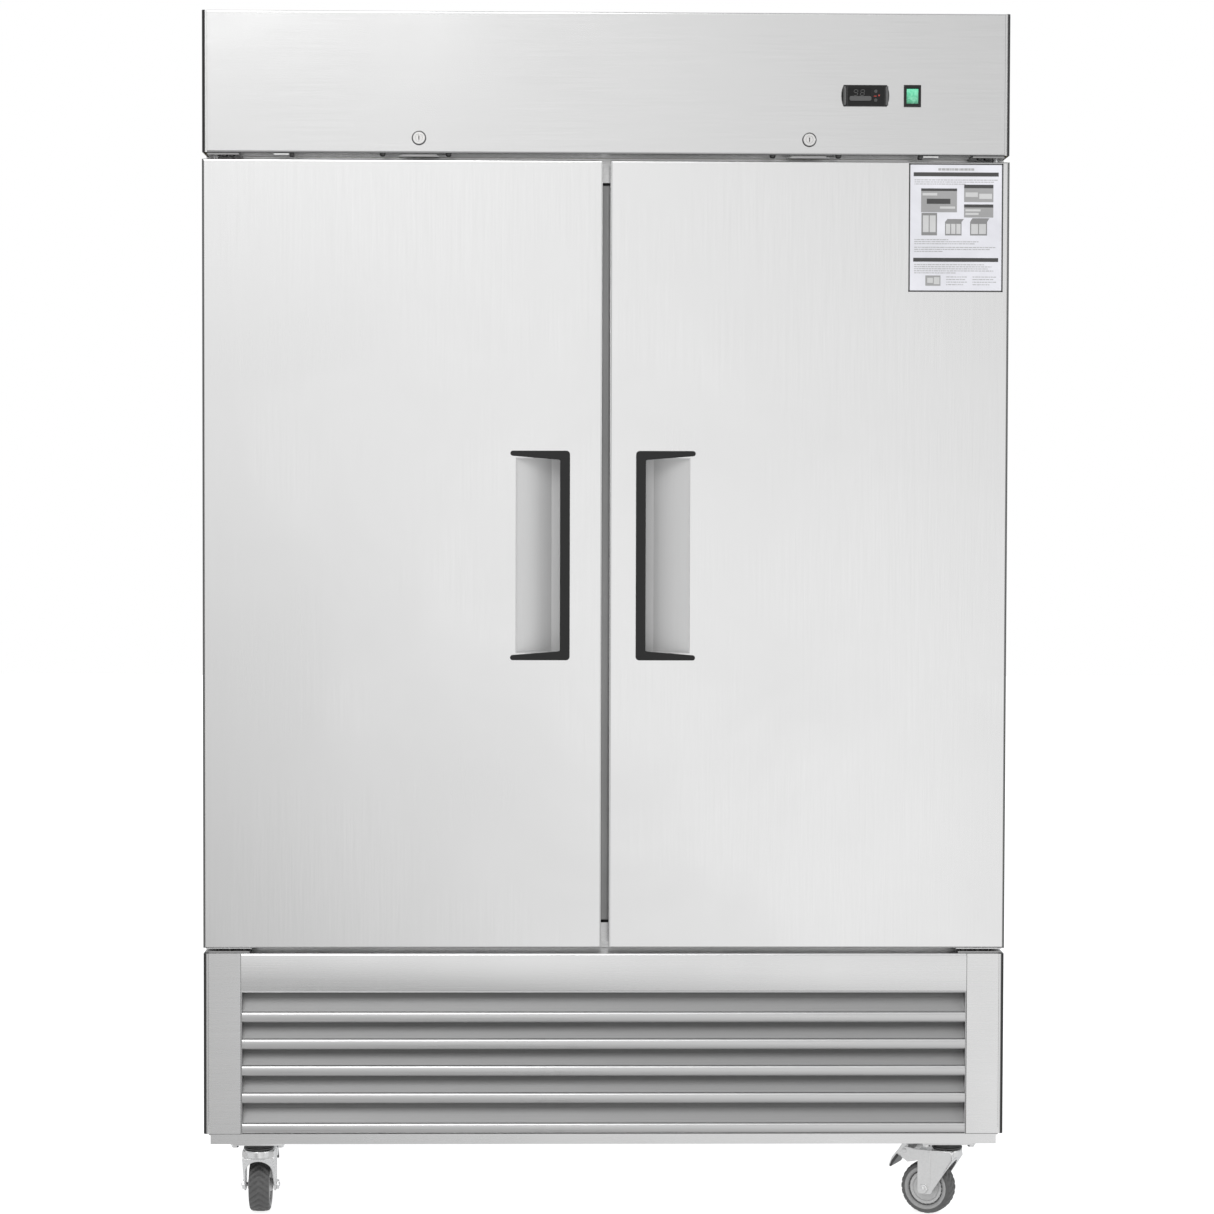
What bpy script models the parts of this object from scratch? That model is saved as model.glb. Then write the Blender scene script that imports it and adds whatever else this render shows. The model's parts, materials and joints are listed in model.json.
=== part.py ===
"""Two-door reach-in refrigerator with its machine compartment underneath, on swivel casters.

Metres, +Z up. The origin is on the floor under the middle of the cabinet, and the doors face -Y.
The cabinet is a foamed box whose header and base stand forward of its face by the depth of a door,
so the closed doors, the header and the base share one front plane.
"""
import math

import bmesh
import bpy
from mathutils import Matrix, Vector

# Overall sizes
WIDTH = 1.372
DEPTH = 0.820
HEIGHT = 2.061
PROUD = 0.004            # how far the locks and buttons stand out of the front plane

# General
GAP = 0.0003             # between pieces that touch
OVER = 0.010             # how far a cutter runs past what it cuts
SHEET = 0.0012
BEND = 0.006             # outside radius of the panels' front bends
RETURN = 0.009           # width of the side panels' front returns
HEADER_FLANGE = 0.025    # depth of the header panel's top flange

# Levels
BASE_LOW = 0.130         # underside of the base frame, on the casters
RAIL_HEIGHT = 0.0175     # the tray's visible front edge
RAIL_INSET = 0.012
BASE_TOP = 0.458
DOOR_LOW = 0.4675
HEADER_LOW = HEIGHT - 0.2395
DOOR_TOP = HEADER_LOW - 0.0111

# Doors
DOOR_THICK = 0.060
DOOR_BEND = 0.003
DOOR_BACK_GAP = 0.012    # from the door's back to the cabinet face, filled by the gasket
CENTRE_GAP = 0.013
HINGE_IN = 0.022         # hinge axis from the cabinet's side
HINGE_BEHIND = 0.030     # hinge axis behind the front plane
PIN_RADIUS = 0.005
PIN_DEPTH = 0.018
HINGE_PLATES = {"top": (0.062, 0.008), "bottom": (0.0785, 0.0034)}   # from the cabinet's side
HINGE_PLATE_THICK = 0.003
HINGE_PLATE_Y = (0.008, 0.056)
GASKET_WIDTH = 0.012
GASKET_EDGE = 0.010
GASKET_HINGE_EDGE = 0.026
RUN = 0.0003             # radial clearance of what turns in a bore

# Recessed handles; v is measured from a handle's bar edge towards the door's hinge
HANDLE_Z = 1.1395
HANDLE_HEIGHT = 0.357
HANDLE_EDGE = {"left": 0.0546, "right": 0.0450}   # bar from the door's inner edge
HANDLE_WIDTH = 0.1015
BAR_WIDTH = 0.0165
ARM_ROOT = 0.0155
ARM_TIP = 0.0088
TRIM_PROUD = 0.0035
TRIM_CORNER = 0.006
POCKET_START = 0.0053
POCKET_END = 0.0921
POCKET_BEND = 0.0313
POCKET_DEPTH = 0.036
POCKET_SHALLOW = 0.003
POCKET_HEIGHT = 0.333

# Insulated box
WALL = 0.060             # outer face to liner, all round
OPEN_LOW = 0.5026
OPEN_TOP = HEADER_LOW - 0.0425
CEILING = HEIGHT - 0.066
HOUSING_LOW = CEILING - 0.160      # underside of the evaporator's housing
FRAME_THICK = 0.003
MULLION_HALF = 0.040
MULLION_DEPTH = 0.045

# Shelves
SHELF_PARTS = (0.2232, 0.4634, 0.7036)   # of the height from the floor to the evaporator
SHELF_THICK = 0.006
SHELF_PITCH = 0.040
SHELF_BAR = 0.006
SHELF_CENTRE = 0.010
SHELF_SIDE = 0.014

# Front locks
LOCK_X = {"left": -0.3184, "right": 0.3442}
LOCK_Z = HEADER_LOW + 0.0253
LOCK_FLANGE = 0.011
LOCK_BARREL = 0.0093
LOCK_PLUG = 0.0060
CAM_LENGTH = 0.048
CAM_WIDTH = 0.014
CAM_BEHIND = 0.022       # middle of the cam behind the front plane
CAM_THICK = 0.002
LOCK_LENGTH = 0.020
STRIKE_DEPTH = 0.020     # of the cam's slot in the door's top

# Controller and switch
CONTROL_X = 0.4387
CONTROL_Z = HEADER_LOW + 0.1000
CONTROL_WIDTH = 0.0815
CONTROL_HEIGHT = 0.036
CONTROL_BODY = (0.0705, 0.0285, 0.055)
BUTTON_X = 0.0176        # right of the controller's middle
BUTTON_Z = 0.0075        # above and below it
BUTTON_RADIUS = 0.0028
BUTTON_TRAVEL = 0.0008
SWITCH_X = 0.519
SWITCH_WIDTH = 0.029
SWITCH_HEIGHT = 0.037
SWITCH_BODY = (0.0245, 0.0330, 0.022)
SWITCH_PROUD = 0.003
ROCKER_WIDTH = 0.0198
ROCKER_RADIUS = 0.0130

# Base
POST_WIDTH = 0.0643      # cabinet side to the grille panel
POST_DEPTH = 0.020
DECK_THICK = 0.003
TRAY_PAD = 0.140         # width of the tray's solid border
COVER_IN = 0.018         # rear cover, in from the back
VENT = (0.40, 0.24, 0.035)   # rear slots: half length, lowest level, pitch
GLAND = (-0.55, 0.22)
GLAND_RADIUS = 0.010
LOUVRE_TOP = 0.3909      # lower edge of the grille's top rail
NOSE_LOWS = (0.3406, 0.2942, 0.2483, 0.2012, 0.1490)
NOSE_HEIGHT = 0.0165
LOUVRE_RISE = 0.030
LOUVRE_RUN = 0.024

# Casters
CASTER_X = 0.5944
CASTER_FRONT_IN = 0.036  # swivel axes behind the front plane
CASTER_REAR_IN = 0.082   # and in from the back
CASTERS = {"front_left": -90.0, "front_right": -26.0, "rear_left": 180.0, "rear_right": 90.0}
WHEEL_RADIUS = 0.0460
WHEEL_WIDTH = 0.036
TRAIL = 0.0335
PLATE = (0.088, 0.060, 0.0035)
RACE_RADIUS = 0.022
FORK_TOP = 0.1150
FORK_WIDTH = 0.055
FORK_SHEET = 0.003
LEG_REAR = 0.0107        # from the axle to a leg's rear edge
AXLE_RADIUS = 0.004
BRAKE_PIVOT = (-0.0685, 0.110)

# Refrigeration system
COIL_X = (-0.46, -0.06)
COIL_Y = 0.090           # behind the front plane
COIL_DEPTH = 0.060
FAN_RADIUS = 0.105
FAN_CLEAR = 0.004
FAN_BLADES = 5
HUB_RADIUS = 0.022
COMPRESSOR = (0.33, 0.06)

FRONT = -(DEPTH + PROUD) / 2 + PROUD
BACK = FRONT + DEPTH
FACE = FRONT + DOOR_THICK + DOOR_BACK_GAP
SIDE = WIDTH / 2
TRAY_TOP = BASE_LOW + RAIL_HEIGHT
DOOR_WIDTH = SIDE - CENTRE_GAP / 2
HINGE_X = SIDE - HINGE_IN
HINGE_Y = FRONT + HINGE_BEHIND
LINER_X = SIDE - WALL
BOX_FRONT = FACE + FRAME_THICK + GAP
INNER_BACK = BACK - WALL
CONTROL_PROUD = PROUD - BUTTON_TRAVEL
SHELF_LEVELS = [OPEN_LOW + part * (HOUSING_LOW - OPEN_LOW) for part in SHELF_PARTS]
BUTTONS = {"upper": CONTROL_Z + BUTTON_Z, "lower": CONTROL_Z - BUTTON_Z}
SIDES = {"left": -1, "right": 1}
WAYS = {"Y": (math.pi / 2, 0, 0), "Z": (0, 0, 0)}
PLANES = {"XY": (0, 0, 0), "XZ": (math.pi / 2, 0, 0), "YZ": (math.pi / 2, 0, math.pi / 2)}


def clear_scene():
    for item in list(bpy.data.objects):
        bpy.data.objects.remove(item, do_unlink=True)


def collection(name):
    group = bpy.data.collections.new(name)
    bpy.context.scene.collection.children.link(group)
    return group


def material(name, colour, roughness, metallic):
    made = bpy.data.materials.new(name)
    made.use_nodes = True
    shader = made.node_tree.nodes["Principled BSDF"]
    shader.inputs["Base Color"].default_value = (*colour, 1.0)
    shader.inputs["Roughness"].default_value = roughness
    shader.inputs["Metallic"].default_value = metallic
    return made


def new_object(name, data, place, frame):
    """Every shape starts as a hidden cutter; keep() turns the finished ones into parts."""
    obj = bpy.data.objects.new(name, data)
    obj.location = place
    obj.parent = frame
    obj.hide_render = True
    obj.display_type = "WIRE"
    CUTTERS.objects.link(obj)
    return obj


def keep(obj, look):
    """Make a finished shape one of the refrigerator's parts."""
    CUTTERS.objects.unlink(obj)
    PARTS.objects.link(obj)
    obj.hide_render = False
    obj.display_type = "TEXTURED"
    obj.data.materials.append(look)
    return obj


def axis_empty(name, place, yaw=0.0):
    """An empty on a joint's axis, which the joint's pieces hang from."""
    empty = bpy.data.objects.new(name, None)
    empty.location = place
    empty.rotation_euler = (0, 0, math.radians(yaw))
    PARTS.objects.link(empty)
    return empty


def box(name, x, y, z, frame=None):
    """A box over three ranges, with its origin in its middle."""
    low = Vector((min(x), min(y), min(z)))
    high = Vector((max(x), max(y), max(z)))
    shape = bmesh.new()
    bmesh.ops.create_cube(shape, size=1.0)
    bmesh.ops.scale(shape, vec=high - low, verts=shape.verts)
    data = bpy.data.meshes.new(name)
    shape.to_mesh(data)
    shape.free()
    return new_object(name, data, (low + high) / 2, frame)


def cylinder(name, place, radius, length, way, sides=24, frame=None):
    """A cylinder centred on place, along Y or Z."""
    shape = bmesh.new()
    bmesh.ops.create_cone(shape, cap_ends=True, segments=sides, radius1=radius, radius2=radius,
                          depth=length)
    data = bpy.data.meshes.new(name)
    shape.to_mesh(data)
    shape.free()
    data.shade_smooth()
    data.set_sharp_from_angle(angle=math.radians(35))
    obj = new_object(name, data, place, frame)
    obj.rotation_euler = WAYS[way]
    return obj


def prism(name, outline, thickness, plane, place, frame=None):
    """A flat outline in the XY, XZ or YZ plane through place, extruded by thickness about it."""
    curve = bpy.data.curves.new(name, "CURVE")
    curve.dimensions = "2D"
    curve.fill_mode = "BOTH"
    curve.extrude = thickness / 2
    line = curve.splines.new("POLY")
    line.points.add(len(outline) - 1)
    for point, (across, up) in zip(line.points, outline):
        point.co = (across, up, 0, 1)
    line.use_cyclic_u = True
    guide = bpy.data.objects.new(name + "_outline", curve)
    bpy.context.scene.collection.objects.link(guide)
    bpy.context.view_layer.update()
    data = bpy.data.meshes.new_from_object(guide.evaluated_get(bpy.context.evaluated_depsgraph_get()))
    bpy.data.objects.remove(guide)
    shape = bmesh.new()
    shape.from_mesh(data)
    bmesh.ops.remove_doubles(shape, verts=shape.verts, dist=0.00001)
    bmesh.ops.recalc_face_normals(shape, faces=shape.faces)
    shape.to_mesh(data)
    shape.free()
    obj = new_object(name, data, place, frame)
    obj.rotation_euler = PLANES[plane]
    return obj


def turned(name, profile, way, place, steps=24, closed=False, frame=None):
    """A profile of (radius, height) points, top to bottom, spun about Y or Z through place."""
    data = bpy.data.meshes.new(name)
    count = len(profile)
    edges = [(i, (i + 1) % count) for i in range(count if closed else count - 1)]
    data.from_pydata([(radius, 0, height) for radius, height in profile], edges, [])
    obj = new_object(name, data, place, frame)
    obj.rotation_euler = WAYS[way]
    spin = obj.modifiers.new("spin", "SCREW")
    spin.steps = steps
    spin.render_steps = steps
    spin.use_merge_vertices = True
    spin.merge_threshold = 0.00005
    return obj


def boolean(obj, others, operation):
    for other in others:
        step = obj.modifiers.new(other.name, "BOOLEAN")
        step.operation = operation
        step.object = other
        step.solver = "EXACT"
    return obj


def cut(obj, *others):
    return boolean(obj, others, "DIFFERENCE")


def join(obj, *others):
    return boolean(obj, others, "UNION")


def round_edges(obj, width, chosen, segments=3):
    """Bevel the edges whose middle and direction, in the object's own axes, are chosen."""
    weights = obj.data.attributes.new("bevel_weight_edge", "FLOAT", "EDGE")
    for edge in obj.data.edges:
        first, last = (obj.data.vertices[i].co for i in edge.vertices)
        along = (last - first).normalized()
        weights.data[edge.index].value = 1.0 if chosen((first + last) / 2, along) else 0.0
    step = obj.modifiers.new("rounded", "BEVEL")
    step.limit_method = "WEIGHT"
    step.width = width
    step.segments = segments
    return obj


def front_uprights(middle, along):
    return middle.y < 0 and abs(along.z) > 0.9


def front_outline(middle, along):
    return middle.y < 0 and abs(along.y) < 0.1


def front_crossbars(middle, along):
    return middle.y < 0 and abs(along.x) > 0.9


# ---- cabinet shell -------------------------------------------------------------------------

def outer_wrapper():
    """Side sheets and top in one wrap, with the front returns of the header and the base."""
    levels = (TRAY_TOP + GAP, HEIGHT)
    wrap = box("outer_wrapper", (-SIDE, SIDE), (FRONT, BACK), levels)
    round_edges(wrap, BEND, front_uprights)
    inner = SIDE - SHEET
    hollow = box("wrapper_hollow", (-inner, inner), (FRONT + SHEET, BACK + OVER),
                 (TRAY_TOP - OVER, HEIGHT - SHEET))
    round_edges(hollow, BEND - SHEET, front_uprights)
    notch = box("wrapper_door_notch", (-WIDTH, WIDTH), (FRONT - OVER, FACE), (BASE_TOP, HEADER_LOW))
    bay = SIDE - RETURN
    header_bay = box("wrapper_header_bay", (-bay, bay), (FRONT - OVER, FRONT + HEADER_FLANGE),
                     (HEADER_LOW - OVER, HEIGHT + OVER))
    base_bay = box("wrapper_base_bay", (-bay, bay), (FRONT - OVER, FRONT + HEADER_FLANGE),
                   (TRAY_TOP - OVER, BASE_TOP + OVER))
    keep(cut(wrap, hollow, notch, header_bay, base_bay), STAINLESS)


def back_panel():
    inner = SIDE - SHEET - GAP
    keep(box("back_panel", (-inner, inner), (BACK - SHEET, BACK), (BASE_TOP, HEIGHT - SHEET - GAP)), STEEL)


def insulation():
    """Foam between the outer sheets and the liner, open at the front for the doors."""
    outer = SIDE - SHEET - GAP
    foam = box("insulation", (-outer, outer), (BOX_FRONT, BACK - SHEET - GAP),
               (BASE_TOP + GAP, HEIGHT - SHEET - GAP))
    room = SHEET + GAP
    inner = LINER_X + room
    cavity = box("insulation_cavity", (-inner, inner), (BOX_FRONT + WALL, INNER_BACK + room),
                 (OPEN_LOW - room, CEILING + room))
    mouth = box("insulation_mouth", (-inner, inner), (BOX_FRONT - OVER, BOX_FRONT + WALL + OVER),
                (OPEN_LOW - room, OPEN_TOP + room))
    keep(cut(foam, cavity, mouth), FOAM)


def liner():
    """Sheet tank inside the foam, with a front lip above the doorway."""
    tank = box("liner", (-LINER_X - SHEET, LINER_X + SHEET), (BOX_FRONT + WALL + GAP, INNER_BACK + SHEET),
               (OPEN_LOW - SHEET, CEILING + SHEET))
    neck = box("liner_neck", (-LINER_X - SHEET, LINER_X + SHEET), (BOX_FRONT, BOX_FRONT + WALL + OVER),
               (OPEN_LOW - SHEET, OPEN_TOP + SHEET))
    hollow = box("liner_hollow", (-LINER_X, LINER_X), (BOX_FRONT + WALL + GAP + SHEET, INNER_BACK),
                 (OPEN_LOW, CEILING))
    mouth = box("liner_mouth", (-LINER_X, LINER_X), (BOX_FRONT - OVER, BOX_FRONT + WALL + 2 * OVER),
                (OPEN_LOW, OPEN_TOP))
    keep(cut(join(tank, neck), hollow, mouth), LINER)


def face_frame():
    """Flat frame round the doorway that the gaskets close on."""
    outer = SIDE - SHEET - GAP
    frame = box("face_frame", (-outer, outer), (FACE, FACE + FRAME_THICK), (BASE_TOP + GAP, HEADER_LOW - GAP))
    mouth = box("face_frame_mouth", (-LINER_X, LINER_X), (FACE - OVER, FACE + OVER), (OPEN_LOW, OPEN_TOP))
    keep(cut(frame, mouth), STAINLESS)


def mullion():
    post = box("mullion", (-MULLION_HALF, MULLION_HALF), (FACE, FACE + MULLION_DEPTH),
               (OPEN_LOW + GAP, OPEN_TOP - GAP))
    keep(round_edges(post, 0.003, front_uprights, 2), GREY_PLASTIC)


def header_panel():
    """Front cover of the header, bent back along its top and its underside."""
    half = SIDE - RETURN - GAP
    panel = box("header_panel", (-half, half), (FRONT, FACE - GAP), (HEADER_LOW, HEIGHT))
    round_edges(panel, BEND / 2, front_crossbars)
    hollow = box("header_hollow", (-WIDTH, WIDTH), (FRONT + SHEET, FACE + OVER),
                 (HEADER_LOW + SHEET, HEIGHT - SHEET))
    round_edges(hollow, BEND / 2 - SHEET, front_crossbars)
    top = box("header_top_cut", (-WIDTH, WIDTH), (FRONT + HEADER_FLANGE - GAP, FACE + OVER),
              (HEIGHT - OVER, HEIGHT + OVER))
    control = box("header_control_hole", around(CONTROL_X, CONTROL_BODY[0] / 2 + GAP),
                  (FRONT - OVER, FRONT + OVER), around(CONTROL_Z, CONTROL_BODY[1] / 2 + GAP))
    switch = box("header_switch_hole", around(SWITCH_X, SWITCH_BODY[0] / 2 + GAP),
                 (FRONT - OVER, FRONT + OVER), around(CONTROL_Z, SWITCH_BODY[1] / 2 + GAP))
    cutters = [hollow, top, control, switch]
    for side, x in LOCK_X.items():
        cutters.append(cylinder("header_lock_hole_" + side, (x, FRONT, LOCK_Z), LOCK_BARREL + GAP,
                                2 * OVER, "Y"))
        cutters.append(cam_slot("header_cam_slot_" + side, x, (HEADER_LOW - OVER, HEADER_LOW + OVER)))
    keep(cut(panel, *cutters), STAINLESS)


def around(middle, half):
    return (middle - half, middle + half)


def cam_slot(name, x, z, frame=None, offset=(0, 0)):
    """Slot for a lock's cam, which swings down from pointing to +X."""
    clear = 0.003
    return box(name, (x - CAM_WIDTH / 2 - clear - offset[0], x + CAM_LENGTH - clear - offset[0]),
               around(FRONT + CAM_BEHIND - offset[1], CAM_THICK / 2 + clear), z, frame)


# ---- controls and locks --------------------------------------------------------------------

def capsule(width, height, bulge, steps=6):
    """Outline with flat top and bottom, and ends that are shallow arcs standing out by bulge."""
    radius = (height ** 2 / 4 + bulge ** 2) / (2 * bulge)
    reach = math.asin(height / 2 / radius)
    centre = width / 2 - radius
    angles = [-reach + 2 * reach * i / steps for i in range(steps + 1)]
    right = [(centre + radius * math.cos(a), radius * math.sin(a)) for a in angles]
    return right + [(-x, -z) for x, z in right]


def controller():
    """Temperature controller: a capsule bezel on the header and its body behind."""
    back = FRONT - GAP
    bezel = prism("controller", capsule(CONTROL_WIDTH, CONTROL_HEIGHT, 0.004), CONTROL_PROUD - GAP, "XZ",
                  (CONTROL_X, (back - CONTROL_PROUD + FRONT) / 2, CONTROL_Z))
    body = box("controller_body", around(CONTROL_X, CONTROL_BODY[0] / 2),
               (back - 0.0005, FRONT + CONTROL_BODY[2]), around(CONTROL_Z, CONTROL_BODY[1] / 2))
    holes = [cylinder("controller_button_hole_" + name, (CONTROL_X + BUTTON_X, FRONT - OVER / 2, z),
                      BUTTON_RADIUS + RUN, OVER + 2 * BUTTON_TRAVEL, "Y", 16)
             for name, z in BUTTONS.items()]
    keep(cut(join(bezel, body), *holes), BLACK_PLASTIC)


def buttons():
    for name, z in BUTTONS.items():
        length = PROUD - BUTTON_TRAVEL
        button = cylinder("controller_button_" + name, (CONTROL_X + BUTTON_X, FRONT - PROUD + length / 2, z),
                          BUTTON_RADIUS, length, "Y", 16)
        keep(button, BLACK_PLASTIC)


def power_switch():
    """Snap-in switch frame and its green rocker, resting with its top edge out."""
    frame = box("switch_frame", around(SWITCH_X, SWITCH_WIDTH / 2), (FRONT - SWITCH_PROUD, FRONT - GAP),
                around(CONTROL_Z, SWITCH_HEIGHT / 2))
    body = box("switch_body", around(SWITCH_X, SWITCH_BODY[0] / 2), (FRONT - 2 * GAP, FRONT + SWITCH_BODY[2]),
               around(CONTROL_Z, SWITCH_BODY[1] / 2))
    clear = 0.0005
    well = box("switch_well", around(SWITCH_X, ROCKER_WIDTH / 2 + clear), (FRONT - OVER, FRONT + 0.010),
               around(CONTROL_Z, ROCKER_RADIUS + clear))
    keep(cut(join(frame, body), well), BLACK_PLASTIC)
    top = [point_at(ROCKER_RADIUS, angle) for angle in (116, 103, 90, 82)]
    bottom = [point_at(ROCKER_RADIUS, angle) for angle in (278, 270, 262, 258)]
    rocker = prism("switch_rocker", top + bottom + [(-0.0040, 0)], ROCKER_WIDTH, "YZ",
                   (SWITCH_X, FRONT + 0.003, CONTROL_Z))
    keep(rocker, GREEN)


def point_at(radius, degrees):
    return (radius * math.cos(math.radians(degrees)), radius * math.sin(math.radians(degrees)))


def lock(side):
    """A keyed cam lock: the barrel in the header, and the plug that carries the cam."""
    x = LOCK_X[side]
    end = -LOCK_LENGTH
    profile = [(LOCK_PLUG + RUN, PROUD), (LOCK_FLANGE - 0.0015, PROUD), (LOCK_FLANGE, PROUD - 0.0015),
               (LOCK_FLANGE, GAP), (LOCK_BARREL, GAP), (LOCK_BARREL, end), (LOCK_PLUG + RUN, end)]
    keep(turned("lock_barrel_" + side, profile, "Y", (x, FRONT, LOCK_Z), closed=True), CHROME)
    front, back = FRONT - PROUD + 0.0004, FRONT + CAM_BEHIND + CAM_THICK / 2
    plug = cylinder("lock_plug_" + side, (x, (front + back) / 2, LOCK_Z), LOCK_PLUG, back - front, "Y", 20)
    key = box("key_slot_" + side, around(x, 0.0008), (front - OVER, front + 0.006), around(LOCK_Z, 0.0042))
    cam = box("lock_cam_" + side, (x - CAM_WIDTH / 2, x + CAM_LENGTH),
              around(FRONT + CAM_BEHIND, CAM_THICK / 2), around(LOCK_Z, CAM_WIDTH / 2))
    keep(cut(join(plug, cam), key), CHROME)


# ---- doors ---------------------------------------------------------------------------------

def door_frame(side):
    """The empty on a door's hinge axis; a door's pieces are placed from it."""
    return axis_empty("door_axis_" + side, (SIDES[side] * HINGE_X, HINGE_Y, 0))


def across(side, u):
    """Distance u from a door's inner edge, as x from its hinge axis."""
    return SIDES[side] * (u - DOOR_WIDTH + HINGE_IN)


def door_box(name, side, u, y, z, frame):
    """A box on a door: u from its inner edge, y behind the front plane, z above the floor."""
    return box(name + "_" + side, [across(side, at) for at in u], [at - HINGE_BEHIND for at in y], z, frame)


def door_cuts(name, side, frame):
    """What both layers of a door make way for: the hinge pins and the lock's cam."""
    cuts = []
    for end, level in (("low", DOOR_LOW), ("top", DOOR_TOP)):
        cuts.append(cylinder(f"{name}_pin_hole_{end}_{side}", (0, 0, level), PIN_RADIUS + RUN,
                             2 * (PIN_DEPTH + 0.002), "Z", 16, frame))
    hinge = (SIDES[side] * HINGE_X, HINGE_Y)
    cuts.append(cam_slot(f"{name}_cam_slot_{side}", LOCK_X[side], (DOOR_TOP - STRIKE_DEPTH, DOOR_TOP + OVER),
                         frame, hinge))
    return cuts


def door_skin(side, frame):
    """Stainless pan: the front, with its edges turned back."""
    skin = door_box("door_skin", side, (0, DOOR_WIDTH), (0, DOOR_THICK), (DOOR_LOW, DOOR_TOP), frame)
    round_edges(skin, DOOR_BEND, front_outline)
    hollow = door_box("door_skin_hollow", side, (SHEET, DOOR_WIDTH - SHEET), (SHEET, DOOR_THICK + OVER),
                      (DOOR_LOW + SHEET, DOOR_TOP - SHEET), frame)
    round_edges(hollow, DOOR_BEND - SHEET, front_outline)
    edge = HANDLE_EDGE[side]
    pocket = door_box("door_skin_pocket_hole", side, (edge + POCKET_START, edge + POCKET_END), (-OVER, OVER),
                      around(HANDLE_Z, POCKET_HEIGHT / 2), frame)
    keep(cut(skin, hollow, pocket, *door_cuts("skin", side, frame)), STAINLESS)


def door_core(side, frame):
    """Foam core with the door's inner panel as its back face."""
    inset = SHEET + GAP
    core = door_box("door_inner", side, (inset, DOOR_WIDTH - inset), (inset, DOOR_THICK),
                    (DOOR_LOW + inset, DOOR_TOP - inset), frame)
    round_edges(core, DOOR_BEND - SHEET, front_outline)
    hole = pocket_shape("door_inner_pocket_hole", side, GAP, frame)
    keep(cut(core, hole, *door_cuts("inner", side, frame)), LINER)


def pocket_shape(name, side, grow, frame):
    """The wedge of a handle pocket: shallow at its far end and deep behind the bar."""
    slope = (POCKET_DEPTH - POCKET_SHALLOW) / (POCKET_END - POCKET_BEND)
    reach = POCKET_END + grow
    outline = [(POCKET_START - grow, -OVER), (POCKET_START - grow, POCKET_DEPTH + grow),
               (POCKET_BEND, POCKET_DEPTH + grow), (reach, POCKET_SHALLOW + grow - slope * grow),
               (reach, -OVER)]
    points = [(across(side, HANDLE_EDGE[side] + v), y - HINGE_BEHIND) for v, y in outline]
    return prism(f"{name}_{side}", points, POCKET_HEIGHT + 2 * grow, "XY", (0, 0, HANDLE_Z), frame)


def handle_pocket(side, frame):
    """Sheet pocket, open to the front, that the fingers go into."""
    pocket = pocket_shape("handle_pocket", side, -GAP, frame)
    hollow = pocket_shape("handle_pocket_hollow", side, -GAP - SHEET, frame)
    trim_plane = door_box("handle_pocket_mouth", side, (0, DOOR_WIDTH), (-2 * OVER, GAP),
                          around(HANDLE_Z, HANDLE_HEIGHT), frame)
    keep(cut(pocket, hollow, trim_plane), STAINLESS)


def handle_trim(side, frame):
    """Black grip: a bar along the pocket's deep edge, with arms that taper away from it."""
    half, tip, nose = HANDLE_HEIGHT / 2, HANDLE_WIDTH, 0.002
    angles = [math.radians(step) for step in (90, 60, 30, 0)]
    corner = [(TRIM_CORNER * (1 - math.sin(a)), half - TRIM_CORNER * (1 - math.cos(a))) for a in angles]
    upper = corner + [(tip - nose, half), (tip, half - nose), (tip, half - ARM_TIP + nose),
                      (tip - nose, half - ARM_TIP), (BAR_WIDTH, half - ARM_ROOT)]
    outline = upper + [(v, -z) for v, z in reversed(upper)]
    points = [(across(side, HANDLE_EDGE[side] + v), z) for v, z in outline]
    middle = -HINGE_BEHIND - (TRIM_PROUD + GAP) / 2
    keep(prism("handle_trim_" + side, points, TRIM_PROUD - GAP, "XZ", (0, middle, HANDLE_Z), frame),
         BLACK_PLASTIC)


def gasket(side, frame):
    """Magnetic seal round the door's back."""
    low, high = DOOR_LOW + GASKET_EDGE, DOOR_TOP - GASKET_EDGE
    u = (GASKET_EDGE, DOOR_WIDTH - GASKET_HINGE_EDGE)
    depth = (DOOR_THICK + GAP, DOOR_THICK + DOOR_BACK_GAP - GAP)
    ring = door_box("door_gasket", side, u, depth, (low, high), frame)
    window = door_box("gasket_window", side, (u[0] + GASKET_WIDTH, u[1] - GASKET_WIDTH), (0, 2 * DOOR_THICK),
                      (low + GASKET_WIDTH, high - GASKET_WIDTH), frame)
    keep(cut(ring, window), GASKET)


def hinges(side):
    """Top and bottom hinge brackets, each with its fixed pin."""
    sign = SIDES[side]
    place = (sign * HINGE_X, HINGE_Y)
    levels = {"top": (HEADER_LOW - GAP, -1, DOOR_TOP - PIN_DEPTH),
              "bottom": (BASE_TOP + GAP, 1, DOOR_LOW + PIN_DEPTH)}
    for end, (seat, up, tip) in levels.items():
        reach = HINGE_PLATES[end]
        plate = box(f"hinge_{end}_{side}", (sign * (SIDE - reach[0]), sign * (SIDE - reach[1])),
                    [FRONT + y for y in HINGE_PLATE_Y], (seat, seat + up * HINGE_PLATE_THICK))
        start = seat + up * HINGE_PLATE_THICK / 2
        pin = cylinder(f"hinge_pin_{end}_{side}", (*place, (start + tip) / 2), PIN_RADIUS, abs(tip - start),
                       "Z", 16)
        keep(join(plate, pin), STAINLESS)


def door(side):
    frame = door_frame(side)
    for make in (door_skin, door_core, handle_pocket, handle_trim, gasket):
        make(side, frame)
    hinges(side)


# ---- base ----------------------------------------------------------------------------------

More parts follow.
